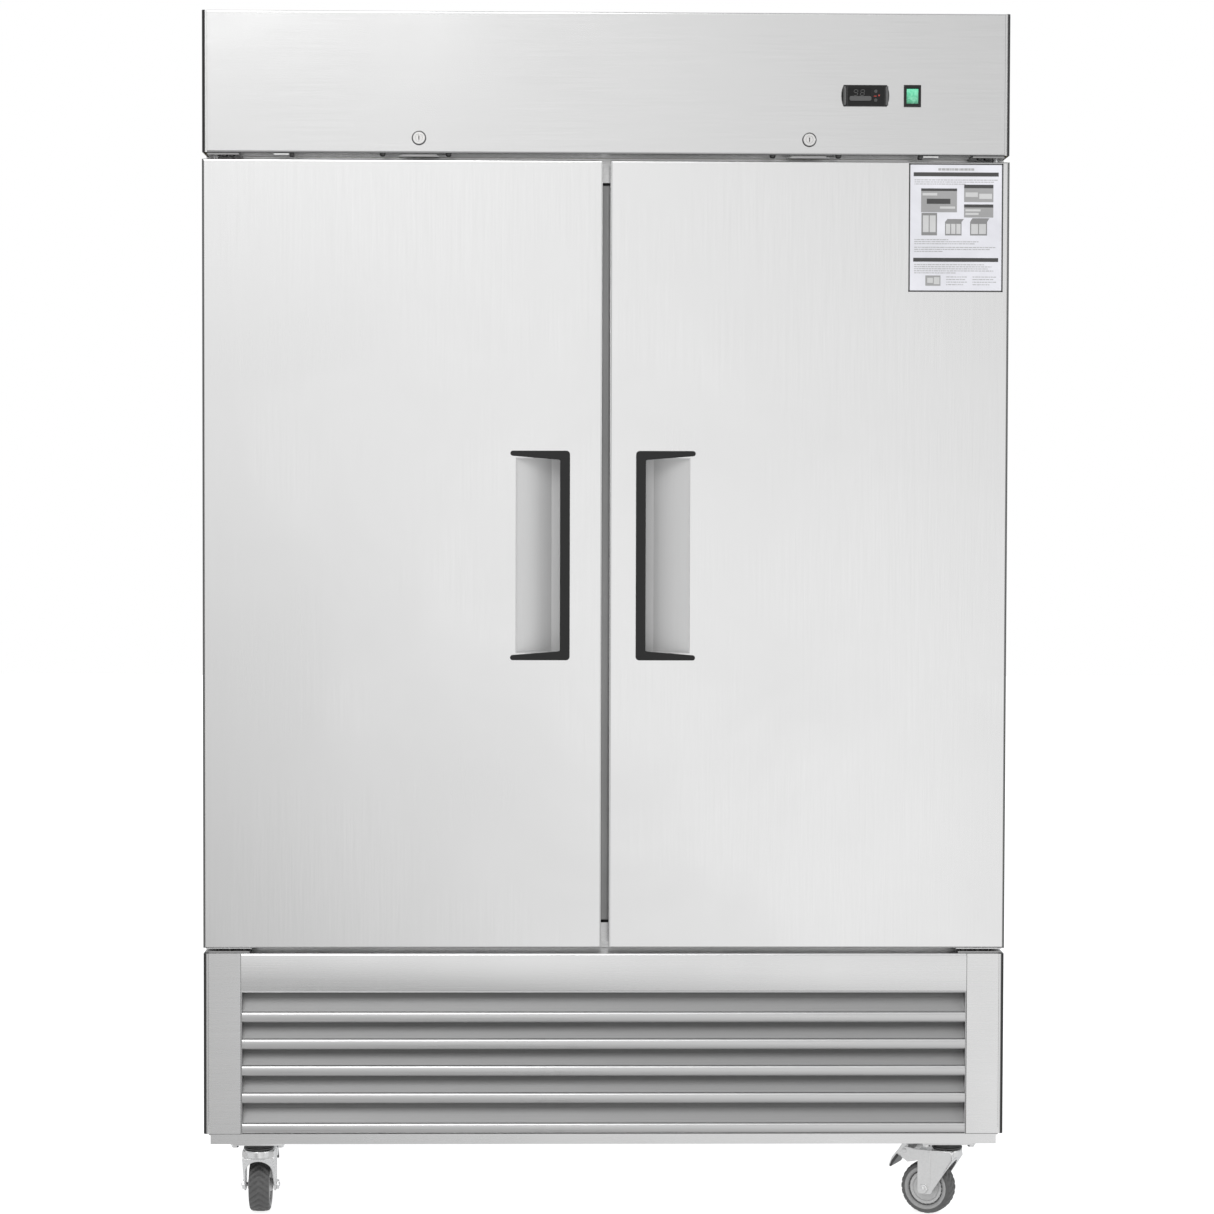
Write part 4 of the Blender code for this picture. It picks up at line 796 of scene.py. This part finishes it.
doors_drawn += [(u, (0.470, 0.548)) for u in ((0.395, 0.440), (0.450, 0.495), (0.505, 0.550),
                                              (0.662, 0.735), (0.745, 0.818))]
doors_drawn += [((0.600, 0.730), (0.225, 0.260)), ((0.745, 0.880), (0.235, 0.275)),
                ((0.600, 0.760), (0.356, 0.372)), ((0.600, 0.740), (0.384, 0.400)),
                ((0.200, 0.260), (0.890, 0.930)), ((0.270, 0.330), (0.885, 0.940)),
                ((0.145, 0.300), (0.230, 0.250)), ((0.330, 0.490), (0.335, 0.352))]
piece("sheet_pale_print", "right_door", ink("pale_ink", 0.52),
      together(*[printed(u, v, 2) for u, v in doors_drawn]))

# ---- base and grille ------------------------------------------------------------------------
# The base is a folded tray on the casters with four boxed posts. Between them hangs the grille:
# a plain rail over five louvres, each with a flat nose rolled round at its top and a blade that
# rises behind it.

base_steel = rolled_sheet("base_steel", grey(0.76), 0.24, (3.0, 700.0, 700.0), 0.05, 0.02)
louvre_steel = rolled_sheet("louvre_steel", grey(0.66), 0.27, (4.0, 1100.0, 1100.0), 0.12)
dress(base_steel, "base_frame")
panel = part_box("grille_panel")
left_x, right_x, low_z, high_z = panel[0].x, panel[1].x, panel[0].z, panel[1].z
RAIL_LOW = 0.3909
NOSES = (0.3406, 0.2942, 0.2483, 0.2012, 0.1490)
NOSE_TALL = 0.0170

# a nose's section as (depth behind the front, height over its foot): up its flat face and round
# its top, then back down one sheet in
turn = np.linspace(0, np.pi / 2, 7)
crown = np.stack([0.0050 * (1 - np.cos(turn)), NOSE_TALL - 0.0060 + 0.0060 * np.sin(turn)], -1)
nose_line = np.concatenate([[(0.0060, -0.0004), (0.0022, -0.0004), (0.0006, 0.0008), (0.0, 0.0030)], crown])
NOSE = np.concatenate([nose_line, nose_line[::-1] + (0.0010, -0.0008)])


def blade(rise):
    """A blade's section: up and back from the nose's top, with a shallow bead at two thirds."""
    run, bead = 0.0220, np.array([(0.66, 0.66), (0.69, 0.66), (0.73, 0.71)])
    line = np.concatenate([[(0.0, 0.0)], bead, [(1.0, 1.0)]]) * (run, rise) + (0.0050, NOSE_TALL - 0.0002)
    return np.concatenate([line, line[::-1] + (0.0012, -0.0006)])


def carried(section, x, z):
    """A (depth, height) section carried straight across between two x, at height z."""
    ends_x = np.array(x)[:, None]
    points = np.stack(np.broadcast_arrays(ends_x, FRONT + section[:, 0], z + section[:, 1]), -1)
    return shell(points)


span = (left_x + 0.0016, right_x - 0.0016)
rises = [above_it - low - NOSE_TALL + 0.0010 for above_it, low in zip((RAIL_LOW,) + NOSES, NOSES)]
noses = [carried(NOSE + (0.0002, 0), span, z) for z in NOSES]
blades = [carried(blade(rise) + (0.0002, 0), span, z) for z, rise in zip(NOSES, rises)]
rail_line = np.array([(0.0070, high_z - 0.0006), (0.0020, high_z - 0.0002), (0.0004, high_z - 0.0018),
                      (0.0, high_z - 0.004), (0.0, RAIL_LOW + 0.004), (0.0004, RAIL_LOW + 0.0016),
                      (0.0020, RAIL_LOW), (0.0110, RAIL_LOW), (0.0110, RAIL_LOW + 0.0010),
                      (0.0024, RAIL_LOW + 0.0012), (0.0012, RAIL_LOW + 0.0030), (0.0012, high_z - 0.0040),
                      (0.0024, high_z - 0.0016), (0.0070, high_z - 0.0014)])
rail = carried(rail_line, (left_x, right_x), 0.0)
piece("grille_rail", "cabinet", base_steel, rail, replaces=["grille_panel"])
piece("grille_noses", "cabinet", louvre_steel, together(*noses), crease=30)
# painted shade: the blades are a darker copy of the noses' louvre steel
blade_steel = rolled_sheet("blade_steel", grey(0.30), 0.42, (4.0, 700.0, 700.0), 0.16, metallic=0.35)
piece("grille_blades", "cabinet", blade_steel, together(*blades), crease=30)
seam_dark = moulded("seam_shadow", grey(0.10), 0.7, 300.0, 0.1)
tray_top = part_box("outer_wrapper")[0].z - 0.0003
SEAM = 0.0008
joins = [(strip(x, SEAM), (tray_top, BASE_TOP)) for x in (left_x - 0.0004, right_x + 0.0004)]
joins += [(x, strip(tray_top, SEAM)) for x in ((-SIDE + 0.009, left_x), (right_x, SIDE - 0.009))]
seams = [slab(oblong(x, z), 0.0004, (0, FRONT - 0.00005, 0)) for x, z in joins]
piece("base_seams", "cabinet", seam_dark, together(*seams))
cheek = oblong((0.0008, 0.0315), (low_z, RAIL_LOW + 0.004))
cheeks = [slab(cheek, 0.0012, (x, FRONT, 0), *SIDEWAYS) for x in (left_x + 0.0008, right_x - 0.0008)]
piece("grille_cheeks", "cabinet", louvre_steel, together(*cheeks), 0.0002)
# painted shadow: a dark sheet and a row of dark wires behind the louvres stand for the shade over the
# condenser coil
coil_shadow_paint = moulded("coil_shadow", grey(0.05), 0.8, 300.0, 0.3)
net = [rod([(x, FRONT + 0.040, low_z + 0.004), (x, FRONT + 0.040, RAIL_LOW + 0.040)], 0.0009, (1, 0, 0), 5)
       for x in np.arange(left_x + 0.01, right_x, 0.012)]
piece("filter_wires", "cabinet", coil_shadow_paint, together(*net))
backing = slab(rounded_box_line((left_x + 0.004, right_x - 0.004), (low_z + 0.002, high_z - 0.006), 0.002, 3),
               0.0012, (0, FRONT + 0.048, 0))
piece("filter_pad", "cabinet", coil_shadow_paint, backing)

# ---- casters --------------------------------------------------------------------------------
# Plate casters of bright zinc: a bolted plate, a ball race with a dark ring, a pressed fork that
# sweeps back to the axle, and a grey rubber tyre with a chevron tread on a light moulded hub.
# The front pair have a foot brake.

zinc = rolled_sheet("bright_zinc", grey(0.88), 0.28, (240.0, 240.0, 240.0), 0.22, 0.08, 0.12, 0.5)
race_dark = rolled_sheet("race_ring", grey(0.12), 0.38, (300.0, 300.0, 300.0), 0.3, 0.10)
tyre_grey = moulded("tyre_grey", grey(0.085), 0.56, 420.0, 0.30, 0.5, 0.20)
hub_grey = moulded("hub_grey", grey(0.46), 0.40, 300.0, 0.10, 0.3, 0.50)
ring_grey = moulded("ring_grey", grey(0.30), 0.50, 300.0, 0.10)
FORK_TOP, FORK_WIDE, SHEET_T = 0.115, 0.055, 0.003
PLATE_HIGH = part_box("caster_plate_front_left")[1].z
joints = {joint["name"]: np.array(joint["pos_m"]) for joint in frame["joints"] if "pos_m" in joint}
WHEEL_R = joints["rear_left_wheel_roll"][2]
TRAIL = float(np.linalg.norm((joints["rear_left_wheel_roll"] - joints["rear_left_swivel"])[:2]))


def turned_to(one, place, yaw):
    """A shape in a caster's own axes, turned about the upright swivel and moved to its place."""
    c, s = math.cos(yaw), math.sin(yaw)
    return one[0] @ np.array([[c, s, 0], [-s, c, 0], [0, 0, 1]]) + place, one[1]


def tyre(steps=168):
    """The tyre: r(w, angle) is the rim's section, less a chevron groove that leans with |w|."""
    half_w = np.array([12.5, 14.2, 16.2, 17.6, 17.2, 15.4, 13.0, 10.0, 6.8, 3.4]) / 1000
    half_r = np.array([29.6, 30.4, 33.0, 37.6, 41.6, 44.0, 45.0, 45.6, 45.9, 46.0]) / 46 * WHEEL_R
    w = np.concatenate([-half_w, [0.0], half_w[::-1]])
    radius = np.concatenate([half_r, [WHEEL_R], half_r[::-1]])
    angle = np.linspace(0, 2 * np.pi, steps, endpoint=False)
    phase = (angle[None, :] * 24 / (2 * np.pi) + np.abs(w)[:, None] * 75) % 1.0
    groove = np.clip((0.42 - np.abs(phase - 0.5) * 2) / 0.14, 0, 1) * (np.abs(w) < 0.0160)[:, None]
    r = radius[:, None] - 0.0024 * groove
    points = np.stack([r * np.cos(angle), np.broadcast_to(w[:, None], r.shape), r * np.sin(angle)], -1)
    return shell(points, close_rows=True)


# sections of the turned parts, as (radius, distance along the axle or the swivel)
HUB = [(0.0045, 0.0215), (0.0085, 0.0215), (0.0105, 0.0200), (0.0120, 0.0150), (0.0135, 0.0138),
       (0.0215, 0.0138), (0.0222, 0.0128), (0.0232, 0.0128), (0.0240, 0.0142), (0.0282, 0.0146),
       (0.0290, 0.0130), (0.0300, 0.0126)]
HUB = HUB + [(r, -w) for r, w in HUB[::-1]] + [(0.0045, -0.0215), (0.0045, 0.0215)]
BAND = [(0.0308, 0.0140), (0.0312, 0.0164), (0.0340, 0.0180), (0.0366, 0.0182), (0.0374, 0.0176),
        (0.0378, 0.0150)]
# outlines of the pressed parts, in the wheel's own plane with the swivel at x = 0
leg_rear = -TRAIL - 0.0107
LEG = [(0.0155, FORK_TOP - 0.001), (0.0200, FORK_TOP - 0.014), (-TRAIL + 0.0165, WHEEL_R - 0.002),
       (-TRAIL + 0.0150, WHEEL_R - 0.0065), (-TRAIL + 0.0115, WHEEL_R - 0.0085),
       (-TRAIL - 0.0060, WHEEL_R - 0.0085), (-TRAIL - 0.0095, WHEEL_R - 0.0070),
       (leg_rear, WHEEL_R - 0.003), (leg_rear, FORK_TOP - 0.020)]


def trailing(*line):
    """An outline given from the axle, moved to where the axle trails behind the swivel."""
    return [(x - TRAIL, z) for x, z in line]


EAR = [(leg_rear - 0.0040, FORK_TOP - 0.0215),
       *trailing((-0.0290, 0.0905), (-0.0400, 0.0975), (-0.0430, 0.1010), (-0.0425, 0.1060),
                 (-0.0390, 0.1125), (-0.0350, 0.1165), (-0.0310, 0.1170)),
       (leg_rear - 0.0060, FORK_TOP - 0.001)]
RIB = trailing((0.0090, FORK_TOP - 0.004), (0.0130, FORK_TOP - 0.004), (0.0125, WHEEL_R + 0.006),
               (0.0095, WHEEL_R + 0.006))
LEVER = trailing((-0.0290, 0.1195), (-0.0350, 0.1230), (-0.0410, 0.1200), (-0.0470, 0.1110),
                 (-0.0590, 0.0960), (-0.0650, 0.0815), (-0.0640, 0.0795), (-0.0610, 0.0790),
                 (-0.0540, 0.0915), (-0.0410, 0.1040), (-0.0310, 0.1065))
TREADLE = trailing((-0.0500, 0.1025), (-0.0590, 0.0900), (-0.0630, 0.0797), (-0.0600, 0.0790),
                   (-0.0530, 0.0900), (-0.0460, 0.0995))
RACE = [(0, 0.0), (0.0245, 0.0), (0.0255, 0.0015), (0.0255, 0.0040), (0.0235, 0.0055), (0.0235, 0.0068),
        (0.0262, 0.0078), (0.0262, 0.0100), (0, 0.0112)]
CROWN = [(0, FORK_TOP - 0.012), (0.0262, FORK_TOP - 0.012), (0.0262, FORK_TOP - 0.002), (0.0245, FORK_TOP),
         (0, FORK_TOP)]
TIP = [(0, -0.0335), (0.0030, -0.0335), (0.0036, -0.0325), (0.0036, 0.0325), (0.0030, 0.0335), (0, 0.0335)]
RIVET = [(0, 0.0016), (0.0030, 0.0014), (0.0042, 0.0004), (0.0042, -0.0002), (0, -0.0002)]
# the hood between the legs, as (across, down): a pressed sheet with an arch over the wheel
side_edge = [(0.0243, -0.060), (0.0262, -0.060), (0.0275, -0.030), (0.0275, 0.0)]
arch_turn = np.linspace(np.pi, 0, 13)
arch_line = np.stack([0.0226 * np.cos(arch_turn), -0.030 + 0.0242 * np.sin(arch_turn)], -1)
HOOD = np.concatenate([side_edge, np.array(side_edge[::-1]) * (-1, 1), arch_line])
brow = [(-0.0275, -0.0145), (-0.0275, -0.0040), (-0.0245, -0.001)]
BROW = brow + [(-x, z) for x, z in brow[::-1]]
lean = np.array([0.0035 + TRAIL, 0, FORK_TOP - WHEEL_R - 0.012])
hub_at = (-TRAIL, 0, WHEEL_R)
hands = (-1, 1)

for name in ("front_left", "front_right", "rear_left", "rear_right"):
    swivel, axle = joints[name + "_swivel"], joints[name + "_wheel_roll"]
    yaw = math.atan2(swivel[1] - axle[1], swivel[0] - axle[0])
    stand = np.array([swivel[0], swivel[1], 0.0])
    at = lambda one: turned_to(one, stand, yaw)
    fork_body, wheel_body = "caster_" + name, "wheel_" + name
    piece("tyre_" + name, wheel_body, tyre_grey, at(copies(tyre(), [hub_at])),
          replaces=["wheel_" + name], crease=50)
    piece("hub_" + name, wheel_body, hub_grey, at(spun(HUB, hub_at, (0, 1, 0), 36)))
    bands = [spun([(r, hand * w) for r, w in BAND], hub_at, (0, 1, 0), 48) for hand in hands]
    piece("sidewall_rings_" + name, wheel_body, ring_grey, at(together(*bands)), crease=60)
    webs = [slab(oblong((0.0125, 0.0215), strip(0, 0.0024)), 0.0260, hub_at,
                 (math.cos(a), 0, math.sin(a)), (-math.sin(a), 0, math.cos(a)))
            for a in np.arange(6) * np.pi / 3]
    piece("hub_webs_" + name, wheel_body, hub_grey, at(together(*webs)), 0.0005)
    braked = name.startswith("front")
    leg_line = LEG + (EAR if braked else [(leg_rear + 0.004, FORK_TOP - 0.001)])
    legs = [slab(leg_line, SHEET_T, (0, hand * (FORK_WIDE - SHEET_T) / 2, 0)) for hand in hands]
    piece("fork_legs_" + name, fork_body, zinc, at(together(*legs)), 0.0007,
          replaces=["fork_" + name])
    hood = [slab(HOOD, 0.0028, (0.0186, 0, FORK_TOP - 0.014), (0, 1, 0), lean / np.linalg.norm(lean)),
            slab(BROW, 0.0028, (0.0174, 0, FORK_TOP), *SIDEWAYS),
            slab(oblong((leg_rear, 0.0180), strip(0, 0.0510)), 0.0030, (0, 0, FORK_TOP - 0.0030), *LEVEL),
            spun(CROWN, (0, 0, 0), steps=40)]
    piece("fork_hood_" + name, fork_body, zinc, at(together(*hood)), 0.0006)
    trims = [slab(RIB, 0.0012, (0, hand * (FORK_WIDE / 2 + 0.0004), 0)) for hand in hands]
    piece("fork_ribs_" + name, fork_body, zinc, at(together(*trims)), 0.0005)
    nuts = [slab(hexagon(0.0150), 0.0042, (-TRAIL, hand * (FORK_WIDE / 2 + 0.0021), WHEEL_R))
            for hand in hands]
    piece("axle_" + name, fork_body, zinc,
          at(together(*nuts, spun(TIP, hub_at, (0, 1, 0), 16))), 0.0006)
    under_plate = stand + (0, 0, PLATE_HIGH)
    plate = slab(rounded_box_line((-0.046, 0.046), (-0.030, 0.030), 0.006), 0.0034,
                 under_plate - (0, 0, 0.0018), *LEVEL)
    corner_bolts = copies(slab(hexagon(0.0105), 0.0040, under_plate, *LEVEL),
                          [(x, y, -0.0054) for x in (-0.0385, 0.0385) for y in (-0.0225, 0.0225)])
    piece("mount_plate_" + name, "cabinet", zinc, together(plate, corner_bolts), 0.0006,
          replaces=["caster_plate_" + name])
    piece("ball_race_" + name, "cabinet", race_dark,
          spun([(r, -0.0030 - drop) for r, drop in RACE], under_plate, steps=40), crease=30)
    if braked:
        inside = FORK_WIDE - 2 * SHEET_T
        lever = slab(LEVER, inside - 0.0016, (0, 0, 0))
        piece("brake_lever_" + name, "brake_" + name, zinc, at(lever), 0.0010,
              replaces=["brake_" + name])
        tread = slab(TREADLE, inside + 0.004, (0, 0, 0))
        piece("brake_treadle_" + name, "brake_" + name, race_dark, at(tread), 0.0010)
        rivets = [spun(RIVET, (-0.0350 - TRAIL, hand * FORK_WIDE / 2, 0.110), (0, hand, 0), 16)
                  for hand in hands]
        piece("brake_rivets_" + name, fork_body, zinc, at(together(*rivets)), crease=50)

# ---- shelves --------------------------------------------------------------------------------
# Coated wire shelves: a round rim, close wires from front to back welded on it, and three bearer
# wires under them. They stand on bent clips in slotted pilaster strips.

wire_coat = moulded("wire_coat", (0.70, 0.71, 0.72, 1.0), 0.30, 400.0, 0.06, coat=0.3)
strip_steel = rolled_sheet("pilaster_steel", grey(0.58), 0.30, (600.0, 600.0, 6.0), 0.10)
slot_dark = moulded("slot_shadow", grey(0.02), 0.8, 300.0, 0.1)
levels = []
for side in ("left", "right"):
    for number in (1, 2, 3):
        node_name = f"shelf_{side}_{number}"
        low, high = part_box(node_name)
        levels.append(low.z)
        mid, inset = (low.z + high.z) / 2, 0.003
        near, far = low.y + inset, high.y - inset
        loop = [(x, y, mid) for x, y in oblong((low.x + inset, high.x - inset), (near, far))]
        wires = [rod(bent(loop, 0.016, 6, True), 0.0030, closed=True)]
        wires += [rod([(x, near, high.z - 0.0014), (x, far, high.z - 0.0014)], 0.0014, sides=6)
                  for x in np.linspace(low.x + 0.022, high.x - 0.022, 26)]
        wires += [rod([(low.x + inset, y, mid - 0.0006), (high.x - inset, y, mid - 0.0006)], 0.0022)
                  for y in np.linspace(low.y, high.y, 5)[1:-1]]
        piece(node_name + "_wires", "cabinet", wire_coat, together(*wires),
              replaces=[node_name], crease=60)
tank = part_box("liner")
wall_x = tank[1].x - 0.0012
foot_z, head_z = tank[0].z + 0.006, 1.82
shelf_low, shelf_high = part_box("shelf_left_1")
rows = np.arange(tank[0].z + 0.05, 1.80, 0.0254)
strips, slots_cut = [], []
for face_way in (1, -1):
    x = face_way * (0.0016 - wall_x)
    for y in (shelf_low.y + 0.055, shelf_high.y - 0.055):
        strips.append(slab(oblong(strip(y, 0.018), (foot_z, head_z)), 0.0030, (x, 0, 0), *SIDEWAYS))
        slots_cut += [slab(oblong(strip(y, 0.006), (z, z + 0.010)), 0.0002, (x + face_way * 0.0016, 0, 0),
                           *SIDEWAYS) for z in rows]
post_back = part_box("mullion")[1].y
for y in ((post_back + 0.0004, shelf_low.y + 0.006), (shelf_high.y - 0.062, shelf_high.y - 0.044)):
    strips.append(slab(oblong(strip(0, 0.013), y), head_z - foot_z, (0, 0, (head_z + foot_z) / 2), *LEVEL))
    slots_cut += [slab(oblong((y[0] + 0.006, y[1] - 0.005), (z, z + 0.010)), 0.0002, (x, 0, 0), *SIDEWAYS)
                  for z in rows for x in (-0.0066, 0.0066)]
piece("pilasters", "cabinet", strip_steel, together(*strips), 0.0006)
piece("pilaster_slots", "cabinet", slot_dark, together(*slots_cut))
clip, clip_faces = slab([(0.0, 0.0), (0.017, 0.0), (0.017, -0.0020), (0.0035, -0.0020), (0.0020, -0.0110),
                         (0.0, -0.0110)], 0.010, (0, 0, 0))
clips = []
for level in levels[:3]:
    for y, post_y in ((shelf_low.y + 0.055, shelf_low.y + 0.001),
                      (shelf_high.y - 0.055, shelf_high.y - 0.055)):
        for sign in (-1, 1):
            at_wall = (sign * (wall_x - 0.0030), y, level - 0.0002)
            at_post = (sign * 0.0068, post_y, level - 0.0002)
            clips.append((clip * (-sign, 1, 1) + at_wall, clip_faces))
            clips.append((clip * (sign, 1, 1) + at_post, clip_faces))
piece("shelf_clips", "cabinet", bright, together(*clips), 0.0004)

# ---- evaporator -----------------------------------------------------------------------------
# A stamped aluminium housing under the ceiling. Air is drawn up through a wire guard under its
# fan, and leaves through three columns of pressed slots in its front.

housing_paint = moulded("housing_paint", (0.58, 0.59, 0.60, 1.0), 0.36, 260.0, 0.12, 0.3, 0.7)
fan_black = moulded("fan_black", grey(0.022), 0.42, 500.0, 0.12, 0.3, 0.10)
dress(housing_paint, "evaporator_cover")
dress(fan_black, "evaporator_fan", "condenser_fan")
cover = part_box("evaporator_cover")
blades_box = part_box("evaporator_fan")
fan_x, fan_y = middle(blades_box)[0], middle(cover)[1]


def under_fan(radius, angle, drop):
    """A place round the fan's axis, below the housing."""
    return fan_x + radius * math.cos(angle), fan_y + radius * math.sin(angle), cover[0].z - drop


ring_turn = np.linspace(0, 2 * np.pi, 48, endpoint=False)
guard = [rod([under_fan(r, a, 0.003) for a in ring_turn], 0.0013, sides=6, closed=True)
         for r in np.linspace(0.024, 0.104, 7)]
guard += [rod([under_fan(0.022, a, 0.0012), under_fan(0.106, a, 0.0012)], 0.0014, sides=6)
          for a in np.arange(6) * np.pi / 3]
piece("fan_guard", "cabinet", wire_coat, together(*guard), crease=60)
LIP = np.array([(0, 0), (0.007, -0.004), (0.007, -0.0052), (0, -0.0015)])
SLOT_PITCH, SLOT_X = 0.018, (-0.21, 0.0, 0.21)
lips = [slab(LIP * (-1, 1), 0.150, (x, cover[0].y, z), *SIDEWAYS) for x in SLOT_X
        for z in np.arange(cover[0].z + 0.030, cover[1].z - 0.020, SLOT_PITCH)]
piece("housing_slots", "cabinet", housing_paint, together(*lips), 0.0003)
mouths = [slab(oblong(strip(x, 0.150), (z, z + 0.007)), 0.0004, (0, cover[0].y - 0.0001, 0))
          for x in SLOT_X for z in np.arange(cover[0].z + 0.018, cover[1].z - 0.030, SLOT_PITCH)]
piece("housing_slot_mouths", "cabinet", slot_dark, together(*mouths))

# ---- condensing unit ------------------------------------------------------------------------
# Behind the grille: a finned coil on copper hairpin tubes, a sheet shroud with its fan, a black
# hermetic compressor with its terminal box, and a plastic tray for the melt water.

copper = rolled_sheet("copper_tube", (0.72, 0.32, 0.18, 1.0), 0.30, (90.0, 90.0, 90.0), 0.35, 0.05, 0.15)
can_paint = moulded("can_paint", grey(0.014), 0.34, 240.0, 0.20, 0.5, 0.22, coat=0.3)
fin_sheet = rolled_sheet("fin_sheet", grey(0.62), 0.36, (300.0, 300.0, 300.0), 0.20)
dress(zinc_sheet, "fan_shroud")
dress(can_paint, "compressor")
dress(rubber, "cord_gland")
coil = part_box("condenser_coil")
coil_end = oblong((coil[0].y, coil[1].y), (coil[0].z, coil[1].z))
fins = together(*[slab(coil_end, 0.0006, (x, 0, 0), *SIDEWAYS)
                  for x in np.linspace(coil[0].x + 0.012, coil[1].x - 0.012, 84)])
piece("coil_fins", "cabinet", fin_sheet, fins, replaces=["condenser_coil"])
plates = together(*[slab(coil_end, 0.0016, (x, 0, 0), *SIDEWAYS)
                    for x in (coil[0].x + 0.009, coil[1].x - 0.009)])
piece("coil_end_plates", "cabinet", zinc_sheet, plates, 0.0004)
tube_rows = np.linspace(coil[0].z + 0.020, coil[1].z - 0.020, 10)
coil_ends = (coil[0].x + 0.004, coil[1].x - 0.004)
serpent = [(coil_ends[(row + end) % 2], z) for row, z in enumerate(tube_rows) for end in (0, 1)]
tubes = [rod(bent([(x, y, z) for x, z in serpent], 0.0105), 0.0040, (0, 1, 0))
         for y in (coil[0].y + 0.015, coil[1].y - 0.015)]
piece("coil_tubes", "cabinet", copper, together(*tubes), crease=60)
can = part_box("compressor")
can_foot = np.array((*middle(can)[:2], can[0].z))


def from_can(*places):
    """Places given from the middle of the compressor's foot."""
    return [can_foot + place for place in places]


lines = [rod(bent(from_can((-0.060, 0, 0.170), (-0.120, 0, 0.170), (-0.120, 0, 0.275)), 0.020),
             0.0048, (0, 1, 0), 10),
         rod(bent(from_can((0, -0.070, 0.080), (0, -0.135, 0.080), (0, -0.135, 0.230)), 0.016),
             0.0034, (1, 0, 0), 10),
         rod(from_can((0, -0.135, 0.228), (coil[1].x - can_foot[0], -0.135, 0.228)), 0.0034, sides=10)]
piece("refrigerant_lines", "cabinet", copper, together(*lines), crease=60)
box_line = rounded_box_line((-0.030, 0.030), (0.0, 0.062), 0.006, 4)
piece("terminal_box", "cabinet", fan_black,
      slab(box_line, 0.034, can_foot + (0.093, 0, 0.060), *SIDEWAYS), 0.003, 3)
seam = [(0.0850, 0.1040), (0.0905, 0.1040), (0.0915, 0.1010), (0.0905, 0.0980), (0.0850, 0.0980)]
piece("can_seam", "cabinet", can_paint, spun(seam, can_foot, steps=40), crease=50)
dish = [(0.0, 0.0), (0.0, 0.036), (0.004, 0.038), (0.006, 0.036), (0.010, 0.004), (0.060, 0.003),
        (0.060, 0.0)]
pan = []
for inset, height in dish:
    rim = rounded_box_line((-0.52 + inset, -0.12 - inset), (0.225 + inset, 0.365 - inset),
                           max(0.018 - inset / 3, 0.003), 6)
    pan.append(np.insert(rim, 2, tray_top + 0.001 + height, axis=1))
piece("condensate_pan", "cabinet", post_grey, shell(np.stack(pan)))

# ---- back and top ---------------------------------------------------------------------------
# The back sheet is stiffened by two pressed ribs, and the rear cover's vents have folded lips.

ribbed = [rod([(x, BACK - 0.0028, 0.53), (x, BACK - 0.0028, 1.99)], 0.0045, (0, 1, 0), 12)
          for x in (-0.30, 0.30)]
piece("back_ribs", "cabinet", zinc_sheet, together(*ribbed), crease=60)
lip_rows = [slab(LIP, 0.80, (0, rear[1].y, z), *SIDEWAYS) for z in np.arange(5) * 0.035 + 0.2465]
piece("vent_lips", "cabinet", zinc_sheet, together(*lip_rows), 0.0003)
